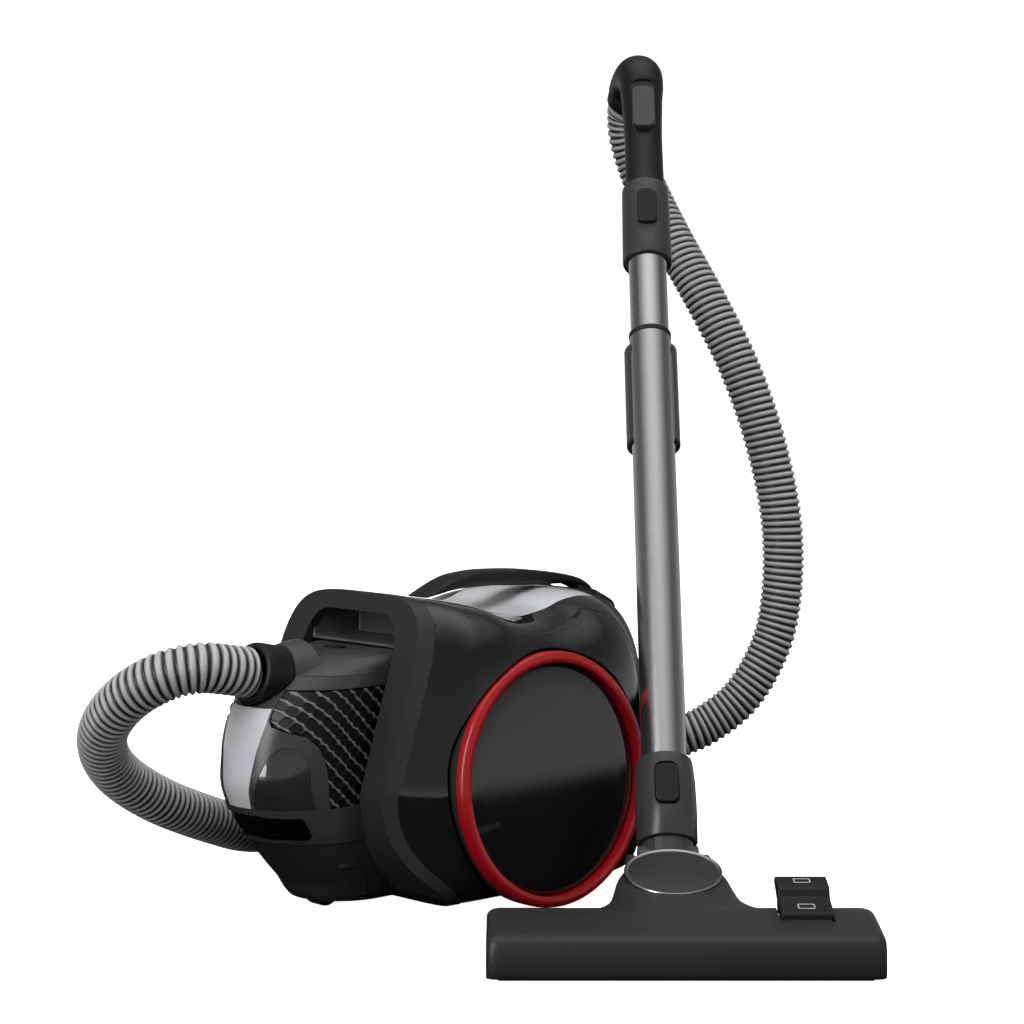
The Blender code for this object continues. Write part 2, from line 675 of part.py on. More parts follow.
def telescope_clasp():
    """Sleeve that grips the outer tube from behind and leaves its front open."""
    sleeve = tube("telescope_clasp", 24.0, OUTER_TUBE_RADIUS + GAP, 400, 503, WAND, 28, 1.5)
    front = prism("front", [(-16.5, -4), (-21, -30), (21, -30), (16.5, -4)], 390, 510, "z", WAND)
    cut(sleeve, front)
    return cut(sleeve, prism("slot", rounded(18.6, 52.6, 5, (0, 452)), 21.4, 40, "y", WAND))


def telescope_button():
    return prism("telescope_button", rounded(18, 38, 5, (0, 452)), 21.8, 27.5, "y", WAND)


def handle_collar():
    profile = [(21.8, TOP_COLLAR_FROM), (23, TOP_COLLAR_FROM + 1.5), (22.6, 640), (22, TOP_COLLAR_TO - 2),
               (21, TOP_COLLAR_TO), (17.7, TOP_COLLAR_TO), (17.7, TOP_COLLAR_FROM)]
    collar = turned("handle_collar", profile, WAND, 28)
    return cut(collar, slot_cutter(19.6, 621, 672, -40, -17.95, WAND))


def bend_frames(count):
    """Frames along the grip: up the wand, then round the gooseneck bend."""
    side = Matrix.Rotation(-NECK_BEND_SIDE, 4, "Z")
    frames = [(Matrix.Translation((0, 0, z)), z) for z in (686.3, 700, 730, 770, NECK_BEND_FROM)]
    for k in range(1, count + 1):
        turn = NECK_BEND_TURN * k / count
        swing = Matrix.Translation((0, NECK_BEND_RADIUS, 0)) @ Matrix.Rotation(-turn, 4, "X")
        spot = Matrix.Translation((0, 0, NECK_BEND_FROM)) @ side @ swing
        frames.append((spot @ Matrix.Translation((0, -NECK_BEND_RADIUS, 0)), NECK_BEND_FROM + k))
    return frames


def grip_rings(frames, radius_of, count=20):
    rings = []
    for place, mark in frames:
        radius = radius_of(mark)
        turns = [2 * math.pi * k / count for k in range(count)]
        rings.append([place @ Vector((radius * math.cos(a), radius * math.sin(a), 0)) for a in turns])
    return rings


def grip_radius(mark):
    table = [(686, 19.0), (700, 18.2), (740, 18.0), (790, 19.5), (808, 21.0), (812, 23.0), (818, 23.4)]
    return smooth_value(table, 1, mark)


def handle_grip():
    frames = bend_frames(7)
    grip = stack("handle_grip", grip_rings(frames, grip_radius), WAND)
    add(grip, rod("spigot", 17.4, GRIP_FROM, 700, WAND, 24))
    bore = [(Matrix.Translation((0, 0, 640)), 640)] + frames
    end = frames[-1][0] @ Matrix.Translation((0, 0, 10))
    bore.append((end, 900))
    cut(grip, stack("bore", grip_rings(bore, lambda mark: GRIP_BORE, 14), WAND))
    return cut(grip, slot_cutter(23.2, 737, 806, -40, -16.4, WAND))


def grip_end():
    return WAND @ bend_frames(7)[-1][0]


def handle_cuff():
    return tube("hose_cuff_handle", 22.6, 15.5, GAP, 13.7, grip_end(), 32, 1.2)


# ---- floor head pieces --------------------------------------------------------------
def disc_frame():
    return HEAD @ Matrix.Translation(DISC_AT) @ Matrix.Rotation(DISC_TILT, 4, "X")


def neck_ring(y, half, top, count=20):
    low = 4.5
    middle, rise = (low + top) / 2, (top - low) / 2
    ring = []
    for k in range(count):
        turn = 2 * math.pi * (k + 0.5) / count
        c, s = math.cos(turn), math.sin(turn)
        ring.append((math.copysign(abs(c) ** 0.5, c) * half, y, middle + math.copysign(abs(s) ** 0.5, s) * rise))
    return ring


def head_body():
    half = HEAD_HALF
    profile = [(2, 3.2), (0, 7), (0.6, 29), (4.5, 33.5), (40, 36.8), (74, 39.2), (80, 37.5), (HEAD_DEPTH, 32),
               (HEAD_DEPTH, 3.2)]
    rings = []
    for x, drop in ((-half, 10), (-half + 1.5, 4), (-half + 7, 0), (half - 7, 0), (half - 1.5, 4), (half, 10)):
        shrink = 1 - drop / 60
        rings.append([(x, 42 + (y - 42) * shrink, 3.2 + (z - 3.2) * shrink) for y, z in profile])
    body = stack("head_body", rings, HEAD)
    slope = math.tan(DISC_TILT)
    stations = [(60, 92, 36), (72, 84, 39), (86, 70, 39.5), (104, 57, 40), (124, 49, 41), (145, 45.5, 44),
                (165, 43.5, 49.2), (182, 37, 53.5), (194, 27, 56.5), (201, 18, 57.5)]
    add(body, stack("dome", [neck_ring(y, w, top) for y, w, top in stations], HEAD))
    for side in (1, -1):
        low, high = sorted((side * 26, side * 34))
        arm = [(176, 24), (176, 46), (212, 50), (PIVOT_BACK + 6, 48), (PIVOT_BACK + 12, PIVOT_UP),
               (PIVOT_BACK + 6, 27), (212, 24)]
        add(body, prism("arm", arm, low, high, "x", HEAD))
    top_cut = prism("disc_seat", [(y, DISC_AT[2] - 1.5 + slope * (y - 160)) for y in (120.5, 199.5)]
                    + [(199.5, 80), (120.5, 80)], -60, 60, "x", HEAD)
    keep(top_cut, rod("round", 39.8, -20, 40, disc_frame(), 32))
    cut(body, top_cut)
    cut(body, block("bar_hollow", (-138, 6, -1), (138, 79, 28), HEAD))
    cut(body, block("neck_hollow", (-36, 70, -1), (36, 188, 33), HEAD))
    cut(body, block("pedal_pocket", (PEDAL_X - 20.3, 40, 31.5), (PEDAL_X + 20.3, 90, 60), HEAD))
    pin = rod("pin", 4.3, -40, 40, WAND @ Matrix.Rotation(math.pi / 2, 4, "Y"), 16)
    return cut(body, pin)


def badge_disc():
    """Blank cover on top of the neck, with its ring."""
    r = DISC_RADIUS
    profile = [(0, -1.1), (r, -1.1), (r, 0.2), (r - 0.4, 0.6), (r - 2.6, 0.6), (r - 3, 0.1), (r - 4, 0.1), (0, 0.7)]
    return turned("badge_disc", profile, disc_frame(), 36)


def foot_pedal():
    """Two-step rocker that lowers the bristle strip."""
    profile = [(43, 37.5), (43, 41.3), (45, 43), (67, 47), (70, 48.5), (73, 54), (76, 55.8), (97, 58.6), (100, 57),
               (100.5, 54), (98, 52.5), (80, 44), (76, 36), (68, 36)]
    low, high = PEDAL_X - PEDAL_HALF, PEDAL_X + PEDAL_HALF
    pedal = prism("foot_pedal", profile, low, high, "x", HEAD)
    hinge = HEAD @ Matrix.Translation((PEDAL_X, PEDAL_HINGE[0], PEDAL_HINGE[1])) @ Matrix.Rotation(math.pi / 2, 4, "Y")
    return cut(pedal, rod("pin_hole", 2.4, -30, 30, hinge, 12))


def sole_plate():
    plate = block("sole_plate", (-136, 8, 0.9), (136, 77, 3.0), HEAD)
    mouth = prism("mouth", rounded(210, 18, 8, (0, 45)), -5, 10, "z", HEAD)
    cut(plate, mouth)
    for y in (17.5, 66.5):
        cut(plate, block("bristle_slot", (-124, y - 3.5, -5), (124, y + 3.5, 10), HEAD))
    for side in (1, -1):
        low, high = sorted((side * 126.5, side * 134))
        add(plate, block("skid", (low, 12, 0), (high, 74, 2), HEAD))
    return plate


def bristle_strip():
    strip = block("bristle_strip", (-122, 15, 4.4), (122, 69, 9), HEAD)
    cut(strip, block("middle", (-112, 20.5, 0), (112, 63.5, 20), HEAD))
    return cut(strip, block("end_low", (-140, 21, 0), (140, 63, 6.5), HEAD))


def roller(name, side):
    spot = HEAD @ Matrix.Translation((side * 24, 168, 8.5)) @ Matrix.Rotation(math.pi / 2, 4, "Y")
    return rod(name, 8.5, -6, 6, spot, 28, 1.0)


# ---- hose ---------------------------------------------------------------------------
SPAN = 24


def smooth_route():
    """A smooth curve through the route, with SPAN steps between two of its points."""
    pts = [Vector(p) for p in ROUTE]
    pts = [pts[0] * 2 - pts[1]] + pts + [pts[-1] * 2 - pts[-2]]
    dense = []
    for i in range(1, len(pts) - 2):
        before, a, b, after = pts[i - 1:i + 3]
        for k in range(SPAN):
            t = k / SPAN
            dense.append(0.5 * (2 * a + (b - before) * t + (2 * before - 5 * a + 4 * b - after) * t * t
                                + (3 * a - before - 3 * b + after) * t**3))
    return dense + [pts[-2]]


def evenly_spaced(dense, step):
    reach = [0.0]
    for i in range(1, len(dense)):
        reach.append(reach[-1] + (dense[i] - dense[i - 1]).length)
    count = max(2, round(reach[-1] / step))
    out, k = [], 0
    for n in range(count + 1):
        want = reach[-1] * n / count
        while k < len(reach) - 2 and reach[k + 1] < want:
            k += 1
        out.append(dense[k].lerp(dense[k + 1], (want - reach[k]) / (reach[k + 1] - reach[k])))
    return out


def hose_piece(name):
    """Plain tube along one stretch of the hose; it stops half a gap short at each end."""
    dense = smooth_route()
    first, last = (SPAN * i for i in HOSE_PIECES[name])
    points = evenly_spaced(dense[first:last + 1], HOSE_STEP)
    out = dense[min(first + 1, len(dense) - 1)] - dense[max(first - 1, 0)]
    back = dense[max(last - 1, 0)] - dense[min(last + 1, len(dense) - 1)]
    if first == 0:
        out = CANISTER.inverted().to_3x3() @ PORT.to_3x3() @ Vector((0, 0, 1))
    if last == len(dense) - 1:
        back = CANISTER.inverted().to_3x3() @ grip_end().to_3x3() @ Vector((0, 0, 1))
    ends = [(points[0], out.normalized()), (points[-1], back.normalized())]
    stubs = [[spot + way * GAP, spot + way * 6] for spot, way in ends]
    points = stubs[0] + points[1:-1] + stubs[1][::-1]
    curve = bpy.data.curves.new(name, "CURVE")
    curve.dimensions = "3D"
    curve.bevel_depth = HOSE_RADIUS * MM
    curve.bevel_resolution = 2
    curve.use_fill_caps = True
    spline = curve.splines.new("POLY")
    spline.points.add(len(points) - 1)
    for knot, point in zip(spline.points, points):
        knot.co = (*((CANISTER @ point) * MM), 1)
    thing = bpy.data.objects.new(name, curve)
    bpy.context.scene.collection.objects.link(thing)
    return thing


# ---- materials and assembly ---------------------------------------------------------
LOOKS = {
    "gloss_black": ((0.012, 0.012, 0.013), 0.12, 0.0),
    "matte_black": ((0.03, 0.03, 0.032), 0.5, 0.0),
    "dark_grey": ((0.055, 0.055, 0.058), 0.45, 0.0),
    "clear_grey": ((0.6, 0.62, 0.64), 0.08, 0.0),
    "smoke": ((0.06, 0.06, 0.065), 0.12, 0.0),
    "red": ((0.55, 0.01, 0.015), 0.3, 0.0),
    "steel": ((0.62, 0.62, 0.63), 0.28, 1.0),
    "hose_grey": ((0.32, 0.33, 0.34), 0.5, 0.0),
    "copper": ((0.5, 0.25, 0.12), 0.35, 1.0),
    "filter": ((0.8, 0.8, 0.76), 0.9, 0.0),
    "rubber": ((0.02, 0.02, 0.02), 0.75, 0.0),
    "bristle": ((0.07, 0.07, 0.07), 0.9, 0.0),
}


def material(look):
    known = bpy.data.materials.get(look)
    if known:
        return known
    colour, roughness, metallic = LOOKS[look]
    made = bpy.data.materials.new(look)
    made.use_nodes = True
    shader = made.node_tree.nodes["Principled BSDF"]
    shader.inputs["Base Color"].default_value = (*colour, 1)
    shader.inputs["Roughness"].default_value = roughness
    shader.inputs["Metallic"].default_value = metallic
    return made


def finish(thing, look, origin=None, frame=CANISTER):
    """Gives a piece its material, smooth shading and, on a moving piece, its origin on the axis."""
    thing.data.materials.clear()
    thing.data.materials.append(material(look))
    if thing.type == "MESH":
        thing.data.shade_smooth()
        thing.data.set_sharp_from_angle(angle=math.radians(35))
    if origin is not None:
        spot = (frame @ Vector(origin)) * MM
        thing.data.transform(Matrix.Translation(-spot))
        thing.location = spot


def build_canister():
    finish(chassis(), "matte_black")
    panel = side_shell("side_shell_right", -1)
    finish(mirrored(panel, "side_shell_left"), "gloss_black")
    finish(panel, "gloss_black")
    for name, side in (("left", 1), ("right", -1)):
        finish(tyre(f"tyre_{name}", side), "red", (0, 0, 0), wheel_frame(side))
        finish(wheel_disc(f"wheel_disc_{name}", side), "gloss_black", (0, 0, 0), wheel_frame(side))
        finish(arch_window(f"arch_window_{name}", side), "smoke")
        finish(grille(f"grille_{name}", side), "dark_grey")
    finish(rear_shell(), "matte_black")
    finish(front_frame(), "dark_grey")
    finish(top_panel("top_cover", -200, LID_SPLIT - 0.15), "gloss_black")
    finish(top_panel("top_window", LID_SPLIT + 0.15, REAR_SPLIT - 0.15), "clear_grey")
    finish(carry_handle(), "matte_black")
    finish(casing(), "dark_grey")
    finish(container_window(), "clear_grey")
    finish(container_lid(), "dark_grey")
    finish(container_button(), "matte_black", (0, -122.5, 209))
    finish(hose_socket(), "dark_grey")
    finish(hose_cuff(), "matte_black", (0, 0, 0), PORT)
    finish(slot_insert(), "smoke")
    finish(chin(), "matte_black")
    finish(caster_fork(), "matte_black", (*CASTER_AT, 38))
    finish(caster_wheel(), "rubber", (CASTER_AT[0], CASTER_AT[1] + CASTER_TRAIL, CASTER_RADIUS))
    finish(foot_button("power_button", 1), "dark_grey", (38, 146, 240))
    finish(foot_button("rewind_button", -1), "dark_grey", (-38, 146, 240))
    for thing, look in zip(motor_pieces(), ("dark_grey", "copper", "steel", "filter")):
        finish(thing, look)
    for thing, look in zip(cyclone_pieces(), ("clear_grey", "steel")):
        finish(thing, look)
    finish(cord_reel(), "dark_grey", (0, 118, 92))
    finish(exhaust_filter(), "filter")


def build_wand():
    finish(wand_neck(), "dark_grey", (0, 0, 0), WAND)
    finish(lower_collar(), "dark_grey", (0, 0, 0), WAND)
    finish(push_button("lower_release", 19.6, 46.5, 80, 27.4, 21.3, WAND), "matte_black", (0, -20, 63), WAND)
    finish(lower_tube(), "steel", (0, 0, 0), WAND)
    finish(tube_seal(), "rubber", (0, 0, 0), WAND)
    finish(upper_tube(), "steel", (0, 0, 0), WAND)
    finish(telescope_clasp(), "dark_grey", (0, 0, 0), WAND)
    finish(telescope_button(), "matte_black", (0, 22, 452), WAND)
    finish(handle_collar(), "dark_grey", (0, 0, 0), WAND)
    finish(push_button("handle_release", 18.8, 632, 670, 24.6, 19.7, WAND), "matte_black", (0, -18, 650), WAND)
    finish(handle_grip(), "dark_grey", (0, 0, 0), WAND)
    finish(push_button("suction_slider", 21.5, 747, 796, 22.5, 16.8, WAND), "dark_grey", (0, -17, 771), WAND)
    finish(handle_cuff(), "matte_black", (0, 0, 0), grip_end())


def build_head():
    finish(head_body(), "dark_grey")
    finish(badge_disc(), "matte_black")
    finish(foot_pedal(), "matte_black", (PEDAL_X, *PEDAL_HINGE), HEAD)
    finish(sole_plate(), "matte_black")
    finish(bristle_strip(), "bristle", (0, 42, 6), HEAD)
    for name, side in (("right", 1), ("left", -1)):
        finish(roller(f"head_roller_{name}", side), "rubber", (side * 24, 168, 8.5), HEAD)


def build_hose():
    for name in HOSE_PIECES:
        finish(hose_piece(name), "hose_grey")


for old_object in list(bpy.data.objects):
    bpy.data.objects.remove(old_object, do_unlink=True)
build_canister()
build_wand()
build_head()
build_hose()
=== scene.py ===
"""Looks of the canister vacuum cleaner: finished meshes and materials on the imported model's frame.

Lengths are in millimetres in the same three frames as the model (canister, floor head and wand),
and the mesh builders turn them into metres. The studio's floor, wall and lights are in metres.
"""
import json
import math

import bmesh
import bpy
from mathutils import Matrix, Vector, noise

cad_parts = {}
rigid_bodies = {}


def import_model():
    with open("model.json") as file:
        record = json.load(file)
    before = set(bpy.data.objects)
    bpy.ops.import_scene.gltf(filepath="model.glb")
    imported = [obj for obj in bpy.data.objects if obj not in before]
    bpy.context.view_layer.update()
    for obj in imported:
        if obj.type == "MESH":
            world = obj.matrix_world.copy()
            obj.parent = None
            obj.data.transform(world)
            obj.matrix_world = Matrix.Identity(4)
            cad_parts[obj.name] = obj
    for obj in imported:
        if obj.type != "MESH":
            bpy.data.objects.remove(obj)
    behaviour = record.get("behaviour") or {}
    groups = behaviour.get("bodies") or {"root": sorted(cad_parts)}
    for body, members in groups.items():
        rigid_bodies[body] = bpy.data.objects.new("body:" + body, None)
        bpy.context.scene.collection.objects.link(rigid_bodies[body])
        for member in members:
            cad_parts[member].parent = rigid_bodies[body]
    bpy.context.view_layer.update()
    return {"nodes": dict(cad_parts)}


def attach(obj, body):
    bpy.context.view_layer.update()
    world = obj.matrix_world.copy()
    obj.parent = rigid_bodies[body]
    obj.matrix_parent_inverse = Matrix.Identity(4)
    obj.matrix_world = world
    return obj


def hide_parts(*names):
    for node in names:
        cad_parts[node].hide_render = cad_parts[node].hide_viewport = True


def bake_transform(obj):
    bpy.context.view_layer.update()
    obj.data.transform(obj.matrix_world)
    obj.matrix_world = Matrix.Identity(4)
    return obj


MM = 0.001

# ---- the model's own frames --------------------
FOOTPRINT_SHIFT = (-153.55, -91.05)
HEAD_AT, HEAD_YAW = (384.6, -112.4), math.radians(46.5)
PIVOT_BACK, PIVOT_UP, WAND_LEAN = 225.0, 38.0, math.radians(34.07)
CANISTER = Matrix.Translation((FOOTPRINT_SHIFT[0], FOOTPRINT_SHIFT[1], 0))
HEAD = CANISTER @ Matrix.Translation((HEAD_AT[0], HEAD_AT[1], 0)) @ Matrix.Rotation(HEAD_YAW, 4, "Z")
WAND = HEAD @ Matrix.Translation((0, PIVOT_BACK, PIVOT_UP)) @ Matrix.Rotation(-WAND_LEAN, 4, "X")
PORT_AT, PORT_TILT = (0, -210, 198.5), math.radians(12.5)
PORT = CANISTER @ Matrix.Translation(PORT_AT) @ Matrix.Rotation(math.pi / 2 - PORT_TILT, 4, "X")
WHEEL_RADIUS, WHEEL_CAMBER, WHEEL_FACE_X = 105.0, math.radians(3.6), 138.0
TYRE_INNER, TYRE_WIDTH, WELL_RADIUS = 95.9, 22.0, 107.5
WALL, GAP, SEAM = 2.5, 0.3, 0.15           # SEAM is half the gap between two panels
SKIRT_TOP, REAR_SPLIT, LID_SPLIT, LID_HALF = 14.0, 117.0, -12.0, 61.7
FRAME_FRONT, FRAME_BACK = -3.0, 7.0
HOLE_HALF, HOLE_LOW, HOLE_HIGH = 58.5, 61.7, 241.0
DISC_AT, DISC_TILT, DISC_RADIUS = (0, 160, 48.7), math.radians(15), 38.5
OUTER_TUBE, INNER_TUBE, TUBE_WALL = 19.0, 17.4, 1.2
GRIP_FROM, NECK_BEND_FROM, NECK_BEND_RADIUS = 686.3, 808.0, 32.0
NECK_BEND_TURN, NECK_BEND_SIDE = math.radians(106), math.radians(-10)
HEAD_HALF, HEAD_BASE, PEDAL_X, PEDAL_HALF = 145.0, 3.2, 92.0, 19.5
# the wand stays out of the mirror images in the gloss panels
WAND_PIECES = ("outer_tube", "inner_tube", "foot_collar", "foot_key", "top_collar", "top_key", "wand_neck",
               "telescope_clasp", "telescope_button", "grip", "head_bar", "head_dome", "head_arm")

# ---- camera --------------------
CAMERA_AT = (1584.3, -1424.6, 456.0)       # in the canister frame
CAMERA_PITCH, CAMERA_YAW, LENS = math.radians(86.292), math.radians(46.5), 87.9

# distance behind the axle, half width, underside, top, squareness of the upper half
BODY_STATIONS = [
    (-152, 80, 5, 256, 4.8), (-128, 99, 5, 255, 4.8), (-100, 128, 5, 252, 4.6),
    (-60, 134, 5, 247, 4.6), (-33, 134, 5, 240, 4.6), (-5, 134, 5, 234, 4.8),
    (25, 134, 5, 232, 4.8), (56, 134, 5, 236, 4.4), (80, 132, 5, 244, 3.8),
    (105, 126, 5, 248, 3.2), (135, 104, 8, 246, 3.0), (160, 78, 20, 234, 2.8),
    (173, 50, 44, 204, 2.5), (178, 16, 90, 160, 2.2)]
LOWER_SQUARENESS = 7.0
# the front frame and the body's front lean back by this slope
FRAME_SLOPE, LEAN_FROM, LEAN_END = 0.32, 105.3, 40.0
# height, front, half width
NOSE_STATIONS = [(62, -204, 55), (76, -214, 56), (92, -222, 56), (110, -227, 56), (135, -225, 56),
                 (165, -217, 56), (180, -207, 56), (196, -190, 56)]
LID_STATIONS = [(196.3, -190, 56), (204, -170, 56), (209, -150, 55), (212, -132, 53)]
NOSE_BACK, NOSE_HALF = -62.0, 56.0

# ---- hose --------------------
HOSE_RADIUS, RIB_PITCH, RIB_DEPTH = 20.4, 6.7, 2.2
ROUTE = [(0, -212.5, 199.1), (0, -232, 203), (-5, -255, 206), (-19, -276, 201), (-41, -290, 188),
         (-66, -294, 170), (-92, -288, 149), (-114, -272, 127), (-128, -250, 107), (-136, -223, 89),
         (-142, -193, 73), (-150, -158, 58), (-159, -124, 45), (-168, -92, 34), (-181, -52, 26),
         (-194, 0, 22), (-203, 60, 21.5), (-205, 125, 21.5), (-196, 190, 22), (-174, 250, 27),
         (-140, 300, 42), (-96, 340, 62), (-61, 363, 79), (-42, 385, 93), (-23, 408, 117),
         (-9, 426, 152), (-1, 438, 193), (1, 443, 251), (-4, 441, 310), (-18, 432, 378),
         (-39, 421, 441), (-69, 410, 500), (-107, 405, 557), (-137, 405, 600), (-158, 404, 636),
         (-166, 398, 668), (-163, 392.5, 690), (-157.4, 388.1, 698.5)]
# name: first and last point of the route, the two bodies at its ends
HOSE_PIECES = {
    "hose_loop": (0, 12, "dust_container", "canister"),
    "hose_floor": (12, 24, "canister", "neck"),
    "hose_rise": (24, 30, "neck", "lower_tube"),
    "hose_hang": (30, 37, "lower_tube", "upper_tube")}
SPAN = 24

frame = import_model()
NODES = frame["nodes"]


def wheel_frame(side):
    """Frame of a big wheel: origin on its outer face, +Z along the axle, outwards."""
    height = WHEEL_RADIUS * math.cos(WHEEL_CAMBER) + 5 * math.sin(WHEEL_CAMBER)
    spot = Matrix.Translation((side * WHEEL_FACE_X, 0, height))
    return CANISTER @ spot @ Matrix.Rotation(side * (math.pi / 2 - WHEEL_CAMBER), 4, "Y")


# ---- mesh builders --------------------
def link(name, mesh):
    thing = bpy.data.objects.new(name, mesh)
    bpy.context.scene.collection.objects.link(thing)
    return thing


def new_object(name, points, faces, space):
    """Object from points in millimetres in the given frame, with its faces turned outwards."""
    mesh = bpy.data.meshes.new(name)
    mesh.from_pydata([(space @ Vector(p)) * MM for p in points], [], faces)
    work = bmesh.new()
    work.from_mesh(mesh)
    bmesh.ops.recalc_face_normals(work, faces=work.faces)
    work.to_mesh(mesh)
    work.free()
    mesh.shade_smooth()
    return link(name, mesh)


def stack(name, rings, space):
    """Skin over a row of closed rings that have the same number of points, closed at both ends."""
    count = len(rings[0])
    points = [p for ring in rings for p in ring]
    faces = [list(range(count)), list(range(len(points) - count, len(points)))]
    for r in range(len(rings) - 1):
        for i in range(count):
            j = (i + 1) % count
            faces.append([r * count + i, r * count + j, (r + 1) * count + j, (r + 1) * count + i])
    return new_object(name, points, faces, space)


def turned(name, profile, space, segments=96):
    """Closed profile of (radius, height) turned about the frame's Z."""
    points, rows = [], []
    for radius, height in profile:
        if radius < 1e-6:
            rows.append([len(points)] * segments)
            points.append((0, 0, height))
            continue
        rows.append(list(range(len(points), len(points) + segments)))
        for k in range(segments):
            turn = 2 * math.pi * k / segments
            points.append((radius * math.cos(turn), radius * math.sin(turn), height))
    faces = []
    for r in range(len(rows)):
        low, high = rows[r], rows[(r + 1) % len(rows)]
        for k in range(segments):
            n = (k + 1) % segments
            corners = list(dict.fromkeys([low[k], low[n], high[n], high[k]]))
            if len(corners) > 2:
                faces.append(corners)
    return new_object(name, points, faces, space)


def rod(name, radius, low, high, space, segments=64):
    return turned(name, [(0, low), (radius, low), (radius, high), (0, high)], space, segments)


def prism(name, outline, low, high, axis, space):
    """Flat outline, drawn across the axis, pulled from low to high along it."""

    def place(u, v, w):
        return {"x": (w, u, v), "y": (u, w, v), "z": (u, v, w)}[axis]

    return stack(name, [[place(u, v, w) for u, v in outline] for w in (low, high)], space)


def block(name, low, high, space):
    outline = [(low[0], low[1]), (high[0], low[1]), (high[0], high[1]), (low[0], high[1])]
    return prism(name, outline, low[2], high[2], "z", space)


def rounded(width, height, radius, middle=(0, 0), steps=6):
    outline = []
    for sx, sy, start in [(1, 1, 0), (-1, 1, 90), (-1, -1, 180), (1, -1, 270)]:
        cx = middle[0] + sx * (width / 2 - radius)
        cy = middle[1] + sy * (height / 2 - radius)
        for k in range(steps + 1):
            turn = math.radians(start + 90 * k / steps)
            outline.append((cx + radius * math.cos(turn), cy + radius * math.sin(turn)))
    return outline


def volume(mesh):
    work = bmesh.new()
    work.from_mesh(mesh)
    size = work.calc_volume()
    work.free()
    return size


def carve(thing, tool, operation="DIFFERENCE"):
    """Boolean, tried again with the tool moved by a hair when the solver's result has a wrong volume."""
    modifier = thing.modifiers.new("carve", "BOOLEAN")
    modifier.operation = operation
    modifier.solver = "EXACT"
    modifier.object = tool
    whole, taken = volume(thing.data), volume(tool.data)
    least, most = (whole - taken, whole) if operation == "DIFFERENCE" else (0, min(whole, taken))
    for nudge in (0.0, 0.011, -0.017, 0.029, -0.041, 0.067):
        tool.location = (nudge * MM, 0.7 * nudge * MM, 0.4 * nudge * MM)
        bpy.context.view_layer.update()
        shape = thing.evaluated_get(bpy.context.evaluated_depsgraph_get())
        mesh = bpy.data.meshes.new_from_object(shape)
        if len(mesh.polygons) > 3 and least * 0.999 <= volume(mesh) <= most * 1.001:
            break
    old = thing.data
    thing.modifiers.clear()
    thing.data = mesh
    bpy.data.meshes.remove(old)
    bpy.data.objects.remove(tool, do_unlink=True)
    return thing


def cut(thing, *tools):
    """Takes the tools away from the thing."""
    for tool in tools:
        carve(thing, tool)
    return thing


def keep(thing, *tools):
    """Leaves only what lies inside every tool."""
    for tool in tools:
        carve(thing, tool, "INTERSECT")
    return thing


def mirrored(thing, name):
    """Copy of a piece on the canister's other side."""
    mesh = thing.data.copy()
    mesh.transform(Matrix.Translation((2 * FOOTPRINT_SHIFT[0] * MM, 0, 0)) @ Matrix.Diagonal((-1, 1, 1, 1)))
    mesh.flip_normals()
    return link(name, mesh)


def soften(thing, width=1.0, segments=3, angle=35):
    """Rounds the hard edges of a moulded piece."""
    weld = thing.modifiers.new("weld", "WELD")
    weld.merge_threshold = 0.00004
    bevel = thing.modifiers.new("bevel", "BEVEL")
    bevel.width = width * MM
    bevel.segments = segments
    bevel.limit_method = "ANGLE"
    bevel.angle_limit = math.radians(angle)
    bevel.harden_normals = False
    smooth_edges(thing, angle)


def smooth_edges(thing, angle=35):
    """Smooth shading that stays sharp at edges over the angle."""
    thing.data.shade_smooth()
    thing.data.set_sharp_from_angle(angle=math.radians(angle))


def smooth_value(rows, column, at):
    """Cubic interpolation of one column of a table of stations, through every row."""
    last = len(rows) - 1
    at = min(max(at, rows[0][0]), rows[last][0])
    k = max(i for i in range(last) if rows[i][0] <= at)
    x0, x1 = rows[k][0], rows[k + 1][0]

    def slope(i):
        if i in (0, last):
            return 0.0
        before = (rows[i][column] - rows[i - 1][column]) / (rows[i][0] - rows[i - 1][0])
        after = (rows[i + 1][column] - rows[i][column]) / (rows[i + 1][0] - rows[i][0])
        return 0.0 if before * after <= 0 else 2 * before * after / (before + after)

    first = slope(k)
    second = slope(k + 1)
    if k == 0:
        first = 1.5 * (rows[1][column] - rows[0][column]) / (x1 - x0) - second / 2
    if k == last - 1:
        second = 1.5 * (rows[last][column] - rows[k][column]) / (x1 - x0) - first / 2
    t, span = (at - x0) / (x1 - x0), x1 - x0
    h00, h10 = 2 * t**3 - 3 * t**2 + 1, t**3 - 2 * t**2 + t
    h01, h11 = 3 * t**2 - 2 * t**3, t**3 - t**2
    return h00 * rows[k][column] + h10 * span * first + h01 * rows[k + 1][column] + h11 * span * second


def lean(y, z):
    """How far a section's upper part is set back: with the frame in front, not at all behind the axle."""
    fade = min(max((LEAN_END - y) / (LEAN_END - BODY_STATIONS[0][0]), 0.0), 1.0)
    return fade * FRAME_SLOPE * max(0.0, z - LEAN_FROM)


def squared_ring(y, half, low, high, count, powers):
    """Ring across Y, from an ellipse (powers of 1) to a rectangle (0); powers gives those for x and z."""
    middle, rise = (low + high) / 2, (high - low) / 2
    ring = []
    for k in range(count):
        turn = 2 * math.pi * (k + 0.5) / count
        c, s = math.cos(turn), math.sin(turn)
        power_x, power_z = powers(s)
        ring.append((math.copysign(abs(c) ** power_x, c) * half, y,
                     middle + math.copysign(abs(s) ** power_z, s) * rise))
    return ring


